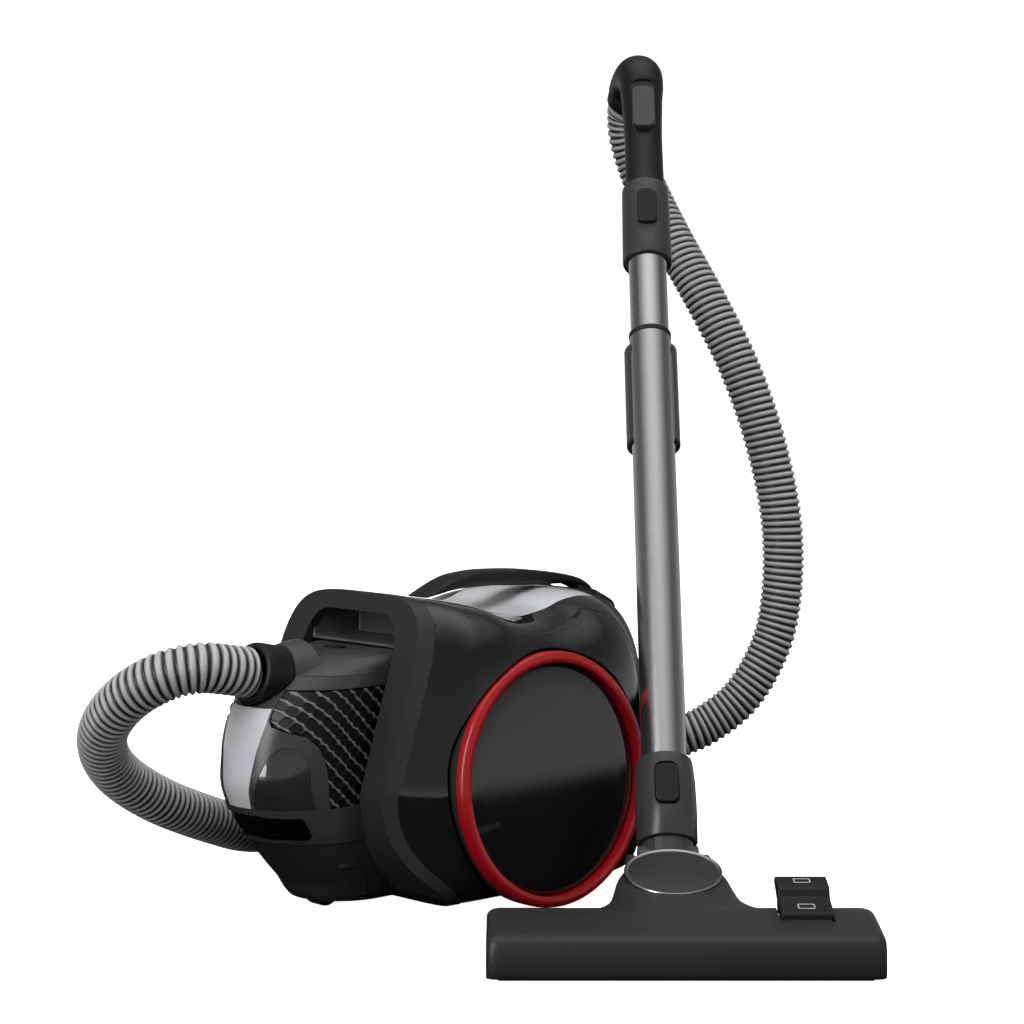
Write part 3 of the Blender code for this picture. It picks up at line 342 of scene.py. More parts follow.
def body_ring(y, shrink, count):
    """Section of the body, squarer below than above, leaning back at the front."""
    half = smooth_value(BODY_STATIONS, 1, y) - shrink
    low = smooth_value(BODY_STATIONS, 2, y) + shrink
    high = smooth_value(BODY_STATIONS, 3, y) - shrink
    upper = smooth_value(BODY_STATIONS, 4, y)

    def powers(s):
        power = 2 / (upper if s > 0 else LOWER_SQUARENESS)
        return power, power

    ring = squared_ring(y, half, low, high, count, powers)
    return [(x, y + lean(y, z), z) for x, y, z in even_ring(ring)]


def even_ring(ring):
    """The same closed line with its points spaced evenly along it."""
    points = [Vector(p) for p in ring]
    reach = [0.0]
    for i in range(len(points)):
        reach.append(reach[-1] + (points[(i + 1) % len(points)] - points[i]).length)
    out, k = [], 0
    for n in range(len(points)):
        want = reach[-1] * n / len(points)
        while reach[k + 1] < want:
            k += 1
        part = (want - reach[k]) / max(reach[k + 1] - reach[k], 1e-9)
        out.append(points[k].lerp(points[(k + 1) % len(points)], part))
    return out


def body_form(shrink=0.0, count=128, step=6.0):
    """The body's whole outer shape as one solid, made smaller all round by shrink."""
    low, high = BODY_STATIONS[0][0], BODY_STATIONS[-1][0]
    number = round((high - low) / step)
    ys = [low + (high - low) * i / number for i in range(number + 1)]
    rings = [body_ring(y, shrink, count) for y in ys]
    flat_start = [(x, low - 60, z) for x, y, z in rings[0]]
    return stack("body_form", [flat_start] + rings, CANISTER)


def frame_plane(z):
    """Where the front frame's surface is at a height: it leans back upwards and bends back to the foot."""
    if z >= 100:
        return -142 + FRAME_SLOPE * (z - 100)
    return -142 + 49 * ((100 - z) / 88) ** 2.4


def slanted(offset, behind):
    """Everything behind, or in front of, a surface parallel to the frame's plane."""
    heights = [-20] + [4 * i for i in range(26)] + [300]
    edge = [(frame_plane(z) + offset, z) for z in heights]
    far = 300 if behind else -400
    return prism("slanted", edge + [(far, 300), (far, -20)], -200, 200, "x", CANISTER)


def nose_ring(z, front, half, shrink=0.0, back=NOSE_BACK, steps=48):
    """Section of the dust container: a half circle in front of straight flanks."""
    radius = half - shrink
    middle = front + half
    ring = [(radius, back - shrink, z)]
    for k in range(steps + 1):
        turn = math.pi * k / steps
        ring.append((radius * math.cos(turn), middle - radius * math.sin(turn), z))
    ring.append((-radius, back - shrink, z))
    return ring


def fine_stations(stations, step=4.0):
    """The same stations at closer heights."""
    low, high = stations[0][0], stations[-1][0]
    number = max(1, round((high - low) / step))
    zs = [low + (high - low) * i / number for i in range(number + 1)]
    return [(z, smooth_value(stations, 1, z), smooth_value(stations, 2, z)) for z in zs]


def nose_form(name, stations, shrink=0.0, back=NOSE_BACK, lower=0.0, raise_top=0.0):
    """The dust container's outer shape as one solid, made smaller all round by shrink."""
    levels = [list(row) for row in fine_stations(stations)]
    levels[0][0] += lower
    levels[-1][0] += raise_top
    return stack(name, [nose_ring(z, f, h, shrink, back) for z, f, h in levels], CANISTER)


def wheel_hole(side):
    return rod("hole", WELL_RADIUS, -33, 60, wheel_frame(side), 120)


def side_region(side):
    """Space that one side panel takes."""
    low, high = sorted((side * (LID_HALF + SEAM), side * 200))
    return block("region", (low, -200, SKIRT_TOP + SEAM), (high, REAR_SPLIT - SEAM, 300), CANISTER)


# ---- materials --------------------
SPECKLE = 0.08                             # how far the colour varies over a surface


def node(tree, kind, **values):
    """New shader node; values go to its inputs or, where it has none of that name, its settings."""
    made = tree.nodes.new(kind)
    for key, value in values.items():
        if key in made.inputs:
            made.inputs[key].default_value = value
        else:
            setattr(made, key, value)
    return made


def wire(source, output, target, socket):
    source.id_data.links.new(source.outputs[output], target.inputs[socket])


def fill(made, **values):
    """Sets a node's inputs, whose names have _ for each space here."""
    for key, value in values.items():
        made.inputs[key.replace("_", " ")].default_value = value


def material(name, colour, roughness, metallic=0.0, coat=0.0, grain=0.0, grain_size=0.4, specular=0.5,
             alpha=1.0, streaks=None, sheen=0.0):
    """Moulded plastic or metal: slight colour and gloss variation and a fine surface grain."""
    known = bpy.data.materials.get(name)
    if known:
        return known
    made = bpy.data.materials.new(name)
    made.use_nodes = True
    tree = made.node_tree
    shader = tree.nodes["Principled BSDF"]
    fill(shader, Metallic=metallic, Coat_Weight=coat, Coat_Roughness=0.03, Specular_IOR_Level=specular,
         Sheen_Weight=sheen, Alpha=alpha)
    place = node(tree, "ShaderNodeTexCoord")
    cloud = node(tree, "ShaderNodeTexNoise", Scale=14.0, Detail=4.0)
    wire(place, "Object", cloud, "Vector")
    ramp = node(tree, "ShaderNodeMapRange")
    fill(ramp, To_Min=1 - SPECKLE, To_Max=1 + SPECKLE)
    wire(cloud, "Fac", ramp, "Value")
    tint = node(tree, "ShaderNodeVectorMath", operation="SCALE")
    tint.inputs[0].default_value = colour
    wire(ramp, "Result", tint, "Scale")
    wire(tint, "Vector", shader, "Base Color")
    gloss = node(tree, "ShaderNodeMapRange")
    fill(gloss, To_Min=roughness * 0.85, To_Max=min(1.0, roughness * 1.15))
    wire(cloud, "Fac", gloss, "Value")
    wire(gloss, "Result", shader, "Roughness")
    if grain > 0:
        fine = node(tree, "ShaderNodeTexNoise", Scale=1000.0 / grain_size, Detail=2.0)
        if streaks is not None:
            stretch = node(tree, "ShaderNodeMapping")
            stretch.inputs["Scale"].default_value = streaks
            wire(place, "Object", stretch, "Vector")
            wire(stretch, "Vector", fine, "Vector")
        else:
            wire(place, "Object", fine, "Vector")
        bump = node(tree, "ShaderNodeBump", Strength=grain, Distance=0.0002)
        wire(fine, "Fac", bump, "Height")
        wire(bump, "Normal", shader, "Normal")
    return made


def paint_shade_by_rib(made, valley_at, valley, crest_at, crest):
    """Painted shade: colour that goes from the valley colour to the crest colour with the mesh's own rib
    height, so the hollows are painted darker.
    """
    tree = made.node_tree
    mark = node(tree, "ShaderNodeAttribute", attribute_name="rib")
    ramp = node(tree, "ShaderNodeValToRGB")
    ends = ramp.color_ramp.elements
    ends[0].position, ends[0].color = valley_at, valley
    ends[1].position, ends[1].color = crest_at, crest
    wire(mark, "Fac", ramp, "Fac")
    wire(ramp, "Color", tree.nodes["Principled BSDF"], "Base Color")
    return made


def hose_painted_shade_material():
    """Hose: light grey on the crests of the ribs; the valleys are painted nearly black as painted shade."""
    made = material("hose_ribs", (0.3, 0.31, 0.32), 0.34, grain=0.08, specular=0.55)
    return paint_shade_by_rib(made, 0.2, (0.012, 0.012, 0.013, 1), 0.8, (0.36, 0.365, 0.375, 1))


def grille_painted_shade_material():
    """Honeycomb grille: light ribs; the cells are painted black as painted shade."""
    made = material("grille_ribs", (0.1, 0.1, 0.1), 0.42)
    return paint_shade_by_rib(made, 0.3, (0.001, 0.001, 0.001, 1), 0.8, (0.13, 0.13, 0.135, 1))


def finishes():
    """Every look, by the short name that the pieces use."""
    return {
        "gloss_black": material("gloss_black_plastic", (0.008, 0.008, 0.009), 0.07, coat=0.6, specular=0.55),
        "matte_black": material("matte_black_plastic", (0.008, 0.008, 0.0085), 0.42, grain=0.2,
                                grain_size=0.5, specular=0.3),
        "dark_grey": material("dark_grey_plastic", (0.02, 0.02, 0.0205), 0.4, grain=0.15, grain_size=0.45,
                              specular=0.32),
        "mid_grey": material("satin_grey_plastic", (0.036, 0.036, 0.037), 0.27, grain=0.06, grain_size=0.5,
                             specular=0.4),
        "recess_grey": material("recess_grey_plastic", (0.075, 0.075, 0.077), 0.32, grain=0.05),
        "clear_grey": material("clear_window_plastic", (0.62, 0.64, 0.66), 0.1, coat=0.5, alpha=0.55),
        # the clear windows are given an opaque light grey: a painted reflection
        "painted_reflection_window": material("silvered_window_plastic", (0.52, 0.53, 0.55), 0.14, coat=0.6),
        "smoke": material("smoked_plastic", (0.02, 0.02, 0.021), 0.1, coat=0.7),
        "slot_black": material("slot_black_plastic", (0.002, 0.002, 0.002), 0.16, specular=0.35),
        "red": material("red_ring_plastic", (0.32, 0.004, 0.007), 0.3, coat=0.15, grain=0.04),
        "steel": material("brushed_steel_tube", (0.66, 0.66, 0.67), 0.25, metallic=1.0, grain=0.08,
                          grain_size=1.0, streaks=(1.0, 1.0, 0.03)),
        "bright_steel": material("polished_steel_tube", (0.68, 0.68, 0.69), 0.16, metallic=1.0, grain=0.03),
        "ring_steel": material("satin_ring_metal", (0.45, 0.45, 0.46), 0.22, metallic=1.0),
        "copper": material("motor_winding", (0.5, 0.25, 0.12), 0.35, metallic=1.0, grain=0.5,
                           grain_size=2.0),
        "filter": material("filter_fleece", (0.75, 0.75, 0.7), 0.95, grain=0.9, grain_size=1.2, sheen=0.3),
        "rubber": material("soft_rubber", (0.008, 0.008, 0.008), 0.62, grain=0.3, grain_size=0.7),
        "bristle": material("bristle_fibre", (0.05, 0.05, 0.05), 0.9, grain=1.0, grain_size=0.8,
                            streaks=(1.0, 1.0, 0.1)),
        "grip_black": material("grip_black_plastic", (0.007, 0.007, 0.0075), 0.36, grain=0.12, specular=0.4),
        "badge": material("badge_grey_plastic", (0.02, 0.02, 0.021), 0.3, specular=0.4),
        "print": material("pad_print_grey", (0.33, 0.33, 0.34), 0.5),
        "hose": hose_painted_shade_material(),
        "grille": grille_painted_shade_material(),
    }


def dress(thing, look):
    thing.data.materials.clear()
    thing.data.materials.append(LOOKS[look])
    return thing


def put(thing, look, body, *replaced):
    """Gives a finished piece its look, its body and the model's nodes that it stands for."""
    dress(thing, look)
    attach(thing, body)
    if replaced:
        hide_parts(*replaced)
    return thing


# ---- camera, floor and light --------------------
def make_camera():
    """Camera at the photograph's viewing angle."""
    data = bpy.data.cameras.new("camera")
    data.lens = LENS
    data.sensor_width = 36
    camera = bpy.data.objects.new("camera", data)
    camera.location = (CANISTER @ Vector(CAMERA_AT)) * MM
    camera.rotation_euler = (CAMERA_PITCH, 0, CAMERA_YAW)
    bpy.context.scene.collection.objects.link(camera)
    bpy.context.scene.camera = camera


def area_light(name, power, size, at, towards, mirrored_in_gloss=True):
    """Softbox aimed at a point; power in watts, size in metres."""
    data = bpy.data.lights.new(name, "AREA")
    data.shape = "RECTANGLE"
    data.size, data.size_y = size
    data.energy = power
    lamp = bpy.data.objects.new(name, data)
    lamp.location = at
    lamp.rotation_euler = (Vector(towards) - Vector(at)).to_track_quat("-Z", "Y").to_euler()
    lamp.visible_glossy = mirrored_in_gloss
    bpy.context.scene.collection.objects.link(lamp)


def studio_world():
    """Light from all round: bright overhead and at the horizon, dim between, nearly black below."""
    world = bpy.data.worlds.new("studio")
    bpy.context.scene.world = world
    world.use_nodes = True
    tree = world.node_tree
    back = tree.nodes["Background"]
    place = node(tree, "ShaderNodeTexCoord")
    split = node(tree, "ShaderNodeSeparateXYZ")
    ramp = node(tree, "ShaderNodeValToRGB")
    ends = ramp.color_ramp.elements
    ends[0].position, ends[0].color = 0.455, (0.004, 0.004, 0.004, 1)
    ends[1].position, ends[1].color = 1.0, (1.1, 1.1, 1.1, 1)
    for height, grey in ((0.463, 0.55), (0.5, 0.46), (0.57, 0.26), (0.68, 0.13), (0.8, 0.1), (0.9, 0.4)):
        ends.new(height).color = (grey, grey, grey, 1)
    shift = node(tree, "ShaderNodeMapRange")
    fill(shift, From_Min=-1, From_Max=1)
    wire(place, "Generated", split, "Vector")
    wire(split, "Z", shift, "Value")
    wire(shift, "Result", ramp, "Fac")
    wire(ramp, "Color", back, "Color")
    back.inputs["Strength"].default_value = 1.0


def pale_material():
    """White paint for the floor and the wall, bright enough to leave no horizon."""
    pale = bpy.data.materials.new("pale_floor")
    pale.use_nodes = True
    fill(pale.node_tree.nodes["Principled BSDF"], Base_Color=(0.9, 0.9, 0.9, 1), Roughness=0.75,
         Emission_Color=(1, 1, 1, 1), Emission_Strength=1.0)
    return pale


def set_surface(name, points, faces, paint):
    """Part of the set, seen by the camera only, so that it doesn't light the object or show in its gloss."""
    mesh = bpy.data.meshes.new(name)
    mesh.from_pydata(points, [], faces)
    mesh.materials.append(paint)
    surface = link(name, mesh)
    surface.visible_glossy = False
    surface.visible_diffuse = False
    return surface


def make_studio():
    """World light, floor, round wall and five softboxes."""
    studio_world()
    bpy.context.scene.view_settings.view_transform = "Standard"
    pale = pale_material()
    size = 14.0
    corners = [(-size, -size, 0), (size, -size, 0), (size, size, 0), (-size, size, 0)]
    floor = set_surface("floor", corners, [(0, 1, 2, 3)], pale)
    floor.location = (0, 0, -0.0005)
    count, reach, height = 64, 12.0, 14.0
    turns = [2 * math.pi * k / count for k in range(count)]
    around = [(reach * math.cos(turn), reach * math.sin(turn)) for turn in turns]
    points = [(x, y, -0.1) for x, y in around] + [(x, y, height) for x, y in around]
    sides = [(k, (k + 1) % count, count + (k + 1) % count, count + k) for k in range(count)]
    wall = set_surface("backdrop", points, sides, pale)
    right = Vector((math.cos(CAMERA_YAW), math.sin(CAMERA_YAW), 0))
    away = Vector((-math.sin(CAMERA_YAW), math.cos(CAMERA_YAW), 0))
    up = Vector((0, 0, 1))
    aim = Vector((0, 0, 0.25))
    area_light("top_softbox", 48, (2.6, 2.2), aim + up * 2.4 - away * 0.4, aim, False)
    area_light("left_softbox", 46, (0.8, 2.4), aim - right * 1.9 - away * 1.9 + up * 0.85, aim)
    area_light("rear_softbox", 26, (2.4, 1.6), aim + away * 2.6 + up * 1.5, aim, False)
    area_light("right_softbox", 26, (0.9, 2.0), aim + right * 2.4 - away * 0.9 + up * 0.9, aim, False)
    area_light("front_softbox", 16, (1.2, 1.0), aim - away * 3.2 + up * 1.3 + right * 0.2, aim, False)


# ---- hose --------------------
def smooth_route():
    """Smooth curve through the route, with SPAN steps between two of its points."""
    pts = [Vector(p) for p in ROUTE]
    pts = [pts[0] * 2 - pts[1]] + pts + [pts[-1] * 2 - pts[-2]]
    dense = []
    for i in range(1, len(pts) - 2):
        before, a, b, after = pts[i - 1:i + 3]
        for k in range(SPAN):
            t = k / SPAN
            dense.append(0.5 * (2 * a + (b - before) * t + (2 * before - 5 * a + 4 * b - after) * t * t
                                + (3 * a - before - 3 * b + after) * t**3))
    return dense + [pts[-2]]


def walk(dense, step):
    """Points at even steps along a line, each with its distance from the line's start."""
    reach = [0.0]
    for i in range(1, len(dense)):
        reach.append(reach[-1] + (dense[i] - dense[i - 1]).length)
    count = round(reach[-1] / step)
    out, k = [], 0
    for n in range(count + 1):
        want = reach[-1] * n / count
        while k < len(reach) - 2 and reach[k + 1] < want:
            k += 1
        out.append((dense[k].lerp(dense[k + 1], (want - reach[k]) / (reach[k + 1] - reach[k])), want))
    return out


def rib_height(s, turn):
    """How far the hose stands out, from 0 in the valley to 1 on the crest of its spiral rib."""
    phase = (s / RIB_PITCH + turn / (2 * math.pi)) % 1.0
    wave = 0.5 - 0.5 * math.cos(2 * math.pi * phase)
    return min(1.0, wave * 1.25)


def ribbed_tube(name, dense, start, normal, around=32):
    """One stretch of the hose, with its spiral rib; start is the stretch's place along the whole hose."""
    line = walk(dense, RIB_PITCH / 7)
    rings, marks = [], []
    for i, (point, s) in enumerate(line):
        after = line[min(i + 1, len(line) - 1)][0]
        before = line[max(i - 1, 0)][0]
        ahead = (after - before).normalized()
        normal = (normal - ahead * normal.dot(ahead)).normalized()
        side = ahead.cross(normal)
        ring = []
        for k in range(around):
            turn = 2 * math.pi * k / around
            height = rib_height(s + start, turn)
            radius = HOSE_RADIUS - RIB_DEPTH * (1 - height)
            ring.append(point + (normal * math.cos(turn) + side * math.sin(turn)) * radius)
            marks.append(height)
        rings.append(ring)
    hose = stack(name + "_ribbed", rings, CANISTER)
    # the rib height also sets the painted shade: the hose's valleys are painted nearly black
    rib = hose.data.attributes.new("rib", "FLOAT", "POINT")
    rib.data.foreach_set("value", marks)
    return hose, [point for point, s in line], start + line[-1][1], normal


def hose_pieces():
    """The four stretches of the hose, laid along the route in the canister's frame."""
    dense = smooth_route()
    start, normal = 0.0, Vector((0.3, 0.2, 1.0))
    for name, (first, last, near, far) in HOSE_PIECES.items():
        stretch = dense[first * SPAN:last * SPAN + 1]
        hose, path, start, normal = ribbed_tube(name, stretch, start, normal)
        dress(hose, "hose")
        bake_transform(hose)
        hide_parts(name)


# ---- canister --------------------
def side_panels():
    """Gloss panels on both sides, the left one a mirror image of the right one."""
    panel = body_form()
    keep(panel, slanted(FRAME_BACK + GAP, True), side_region(-1))
    cut(panel, body_form(WALL), wheel_hole(-1))
    panel.name = "side_panel_right"
    soften(panel, 0.8, 2, 40)
    other = mirrored(panel, "side_panel_left")
    soften(other, 0.8, 2, 40)
    put(panel, "gloss_black", "canister", "side_shell_right")
    put(other, "gloss_black", "canister", "side_shell_left")


def wheel_wells():
    """Dark wells with the stub axles."""
    r = WELL_RADIUS
    profile = [(0, -14), (7.6, -14), (8.2, -15), (8.2, -32), (r - 5, -32), (r - 0.2, -27), (r - 0.2, -4),
               (r + 1, -4), (r + 1, -28), (r - 3, -34), (0, -34)]
    well = turned("wheel_well_left", profile, wheel_frame(1), 120)
    keep(well, body_form(0.8), side_region(1))
    smooth_edges(well)
    other = mirrored(well, "wheel_well_right")
    smooth_edges(other)
    put(well, "matte_black", "canister")
    put(other, "matte_black", "canister")


def wheels():
    """Big wheels: red ring, rubber tread and a slightly domed gloss disc."""
    r, rim = WHEEL_RADIUS, TYRE_INNER
    ring = [(rim, -0.4), (rim + 0.5, 0), (r - 3.2, 0), (r - 1.4, -0.9), (r - 0.3, -2.6), (r, -5),
            (r - 0.2, -8.6), (r - 1, -9), (rim, -9)]
    tread = [(rim, -9), (r - 1, -9), (r - 0.3, -9.3), (r - 0.4, -12), (r - 0.9, -18), (r - 2.2, -21),
             (r - 4.5, -TYRE_WIDTH), (rim, -TYRE_WIDTH)]
    q = TYRE_INNER - GAP
    disc = [(0, -4.0), (20, -4.12), (40, -4.5), (60, -5.1), (76, -5.75), (q - 5, -6.3), (q - 3, -6.7),
            (q - 1.8, -7.4), (q, -9), (q, -20), (q - 2.5, -20), (q - 3, -10), (16, -11), (16, -25),
            (8.6, -25), (8.6, -12), (0, -12)]
    for name, side in (("left", 1), ("right", -1)):
        tyre = turned(f"wheel_ring_{name}", ring, wheel_frame(side), 160)
        smooth_edges(tyre, 50)
        put(tyre, "red", f"wheel_{name}", f"tyre_{name}")
        band = turned(f"wheel_tread_{name}", tread, wheel_frame(side), 160)
        smooth_edges(band, 50)
        put(band, "rubber", f"wheel_{name}")
        cover = turned(f"wheel_cover_{name}", disc, wheel_frame(side), 160)
        smooth_edges(cover, 40)
        put(cover, "gloss_black", f"wheel_{name}", f"wheel_disc_{name}")


def rear_cover():
    """Rear shell with exhaust slots, two button openings and the lead's outlet."""
    shell = body_form()
    region = block("region", (-200, REAR_SPLIT + SEAM, SKIRT_TOP + SEAM), (200, 200, 300), CANISTER)
    keep(shell, region)
    cut(shell, body_form(WALL))
    for k in range(6):
        z = 66 + 13 * k
        outline = rounded(68, 5, 2.4, (0, z + 2.5), 3)
        cut(shell, prism("slot", outline, 160, 190, "y", CANISTER))
    for side in (1, -1):
        outline = rounded(34.8, 20.8, 7.4, (side * 38, 146))
        cut(shell, prism("key_slot", outline, 150, 262, "z", CANISTER))
    bore = CANISTER @ Matrix.Translation((0, 0, 52)) @ Matrix.Rotation(-math.pi / 2, 4, "X")
    cut(shell, rod("outlet", 9.3, 150, 200, bore, 40))
    shell.name = "rear_cover"
    soften(shell, 0.7, 2, 40)
    put(shell, "matte_black", "canister", "rear_shell")


def top_panels():
    """Gloss cover and the window on top of the body, the clear window painted an opaque light grey as a
    painted reflection.
    """
    for name, y_from, y_to, look, node_name in (
            ("top_cover_panel", -200, LID_SPLIT - SEAM, "gloss_black", "top_cover"),
            ("top_window_pane", LID_SPLIT + SEAM, REAR_SPLIT - SEAM, "painted_reflection_window", "top_window")):
        panel = body_form()
        region = block("region", (-LID_HALF + SEAM, y_from, 200), (LID_HALF - SEAM, y_to, 300), CANISTER)
        keep(panel, region, slanted(FRAME_BACK + GAP, True))
        cut(panel, body_form(WALL))
        panel.name = name
        soften(panel, 0.5, 2, 40)
        put(panel, look, "canister", node_name)


def frame_outline():
    """Opening of the front frame, with round upper corners."""
    half, top = HOLE_HALF, HOLE_HIGH
    arc = [(half, 205), (half - 1, 214), (half - 3, 223), (half - 6.5, 231), (half - 12, 237),
           (half - 19, top - 0.6), (half - 26, top)]
    right = [(half - 1.5, HOLE_LOW), (half, HOLE_LOW + 1.5)] + arc
    return right + [(-x, z) for x, z in reversed(right)]


def ring_frame():
    """Front frame and the hand recess behind its top bar."""
    ring = body_form(-0.5)
    keep(ring, slanted(FRAME_FRONT, True))
    cut(ring, slanted(FRAME_BACK, True), prism("hole", frame_outline(), -200, -40, "y", CANISTER))
    ring.name = "ring_frame"
    soften(ring, 2.2, 4, 45)
    put(ring, "dark_grey", "canister", "front_frame")
    pan = block("hand_recess", (-58.3, -99, 213), (58.3, -46, 243.5), CANISTER)
    keep(pan, slanted(2, True))
    cut(pan, block("hollow", (-55.5, -140, 215.5), (55.5, -49, 240.5), CANISTER))
    soften(pan, 1.5, 3, 45)
    put(pan, "recess_grey", "canister")


def carry_strap():
    """Flat strap over the clear window, from the top cover to the rear shell."""
    # distance behind the axle, top, underside, half width
    stations = [(-31, 248.2, 247.0, 13), (-24, 251.5, 248.0, 14), (-14, 256.0, 249.4, 14.6),
                (-4, 260.2, 251.0, 15), (12, 264.4, 252.0, 15), (40, 266.4, 252.4, 15),
                (75, 265.2, 250.8, 15), (105, 262.2, 249.3, 15), (125, 259.2, 249.0, 15),
                (145, 255, 247.2, 15), (158, 249.5, 243.0, 14.6), (167, 241.5, 237.8, 13.5),
                (170.5, 233, 231.5, 12)]
    rings = []
    y = stations[0][0]
    while y <= stations[-1][0]:
        top, under, half = (smooth_value(stations, c, y) for c in (1, 2, 3))
        rings.append(squared_ring(y, half, under, top, 40, lambda s: (0.45, 0.55)))
        y += 2.5
    strap = stack("carry_strap", rings, CANISTER)
    cut(strap, body_form(-GAP, 96, 8))
    smooth_edges(strap, 50)
    put(strap, "matte_black", "canister", "carry_handle")


# ---- dust container --------------------
def window_prism(margin):
    """Cutter for the front window; the margin makes it smaller."""
    low, high = 91.5 + margin, 172 - margin
    outline = [(14 - margin, low), (25 - margin, 160), (25 - margin, high)]
    outline += [(-x, z) for x, z in reversed(outline)]
    return prism("window", outline, -240, -195, "y", CANISTER)


def arch_outline(side, margin):
    """Arch window on one side; the margin makes it smaller."""
    low = 91.5 + margin
    outline = [(18 + margin, low), (20.5 + margin, 105), (24 + margin, 118), (28 + margin, 129 - margin / 2),
               (32.5, 137 - margin), (38, 141.5 - margin), (43, 142.5 - margin),
               (47.5 - margin, 139.5 - margin), (50.3 - margin, 134), (52 - margin, 126),
               (52.5 - margin, 116), (52.5 - margin, low)]
    return [(side * x, z) for x, z in outline]


def grille_outline(margin=0.0):
    return [(-142 - margin, 91 + margin), (-173 + margin, 91 + margin), (-176 + margin, 122),
            (-182 + margin, 140), (-192 + margin, 150), (-205 + margin, 154), (-211.5 + margin, 158),
            (-211.5 + margin, 168), (-206 + margin, 186 - margin), (-112 - margin, 186 - margin)]


def grille_prism(side, margin):
    low, high = sorted((side * 26, side * 70))
    return prism("grille", grille_outline(margin), low, high, "x", CANISTER)


def arch_prism(side, margin):
    return prism("arch", arch_outline(side, margin), -240, -176, "y", CANISTER)


def container_shell():
    """Casing of the dust container, open for its windows, grilles, slot and hose."""
    shell = nose_form("container_body", NOSE_STATIONS)
    cut(shell, nose_form("hollow", NOSE_STATIONS, WALL, NOSE_BACK, WALL, 5))
    cut(shell, window_prism(0.0), rod("port", 26.8, -26.3, 8, PORT, 64))
    for side in (1, -1):
        cut(shell, arch_prism(side, 0.0), grille_prism(side, 0.0))
    slot = prism("slot", rounded(94, 20.5, 4, (0, 75.7)), -230, -183, "y", CANISTER)
    cut(shell, slot)
    soften(shell, 0.6, 2, 40)
    put(shell, "mid_grey", "dust_container", "container_casing")


def container_panes():
    """Clear front window, painted an opaque light grey as a painted reflection, and the two smoked arch
    windows.
    """
    pane = nose_form("front_pane", NOSE_STATIONS)
    cut(pane, nose_form("hollow", NOSE_STATIONS, WALL - 0.5))
    keep(pane, window_prism(0.3))
    smooth_edges(pane)
    put(pane, "painted_reflection_window", "dust_container", "container_window")
    for name, side in (("left", 1), ("right", -1)):
        dome = nose_form(f"dome_pane_{name}", NOSE_STATIONS, 0.4)
        cut(dome, nose_form("hollow", NOSE_STATIONS, WALL))
        keep(dome, arch_prism(side, 0.3))
        smooth_edges(dome)
        put(dome, "smoke", "dust_container", f"arch_window_{name}")


def lid():
    """Lid of the dust container, with a hole for its button."""
    top = nose_form("container_top", LID_STATIONS)
    cut(top, rod("port", 26.8, -60, 8, PORT, 64))
    cut(top, prism("hole", rounded(22.6, 11.6, 3, (0, -122.5)), 205, 215, "z", CANISTER))
    soften(top, 1.0, 3, 40)
    put(top, "mid_grey", "dust_container", "container_lid")


# spacing of the grille's rows and of the cells in a row
ROW_PITCH, CELL_PITCH = 9.6, 8.2


def grille_relief(name, side):
    """Net of wavy ribs over cells painted dark as painted shade, on the curved flank of the container."""
    step = 0.8
    ys = [-213 + step * i for i in range(round(102 / step) + 1)]
    zs = [90.5 + step * i for i in range(round(96 / step) + 1)]
    points, marks, index = [], [], {}
    for j, z in enumerate(zs):
        front = smooth_value(NOSE_STATIONS, 1, z)
        middle = front + NOSE_HALF
        for i, y in enumerate(ys):
            if not inside(grille_outline(0.3), y, z):
                continue
            x = NOSE_HALF if y > middle else math.sqrt(max(0.0, NOSE_HALF**2 - (middle - y) ** 2))
            mark = net(y, z)
            depth = 1.6 * (1 - mark)
            out = Vector((1, 0, 0)) if y > middle else Vector((x, y - middle, 0)).normalized()
            spot = Vector((x, y, z)) - out * (0.5 + depth)
            index[(i, j)] = len(points)
            points.append((side * spot.x, spot.y, spot.z))
            marks.append(mark)
    faces = []
    for (i, j), a in index.items():
        corners = [index.get(k) for k in ((i + 1, j), (i + 1, j + 1), (i, j + 1))]
        if None not in corners:
            faces.append([a] + corners)
    net_mesh = new_object(name, points, faces, CANISTER)
    # the mark also sets the painted shade that darkens the cells
    rib = net_mesh.data.attributes.new("rib", "FLOAT", "POINT")
    rib.data.foreach_set("value", marks)
    thick = net_mesh.modifiers.new("thickness", "SOLIDIFY")
    thick.thickness = 0.8 * MM
    thick.offset = 0
    return net_mesh


def inside(outline, u, v):
    """Whether a point lies within a closed outline."""
    hit = False
    for (u0, v0), (u1, v1) in zip(outline, outline[1:] + outline[:1]):
        if (v0 > v) != (v1 > v) and u < (u1 - u0) * (v - v0) / (v1 - v0) + u0:
            hit = not hit
    return hit


def net(y, z):
    """1 on a rib, 0 in a cell: slanting rows of rounded cells between wavy ribs; the mark sets the cells'
    depth and their painted shade.
    """
    along = y * 0.72 - z * 0.69
    across = y * 0.69 + z * 0.72
    across += 1.6 * noise.noise(Vector((y * 0.07, z * 0.07, 3.0)))
    row = across / ROW_PITCH
    which = math.floor(row)
    in_row = abs(row - which - 0.5) * 2
    along += 5.0 * noise.noise(Vector((which * 7.3, along * 0.05, 5.0))) + which * 3.1
    cell = along / CELL_PITCH
    in_cell = abs(cell - math.floor(cell) - 0.5) * 2
    rib = smooth_step(0.78, 0.93, in_row + 0.2 * in_cell**2 - 0.06)
    web = 0.34 * smooth_step(0.84, 0.98, in_cell + 0.12 * in_row)
    return max(rib, web)


def smooth_step(low, high, value):
    """Soft step from 0 at low to 1 at high."""
    t = min(max((value - low) / (high - low), 0.0), 1.0)
    return t * t * (3 - 2 * t)


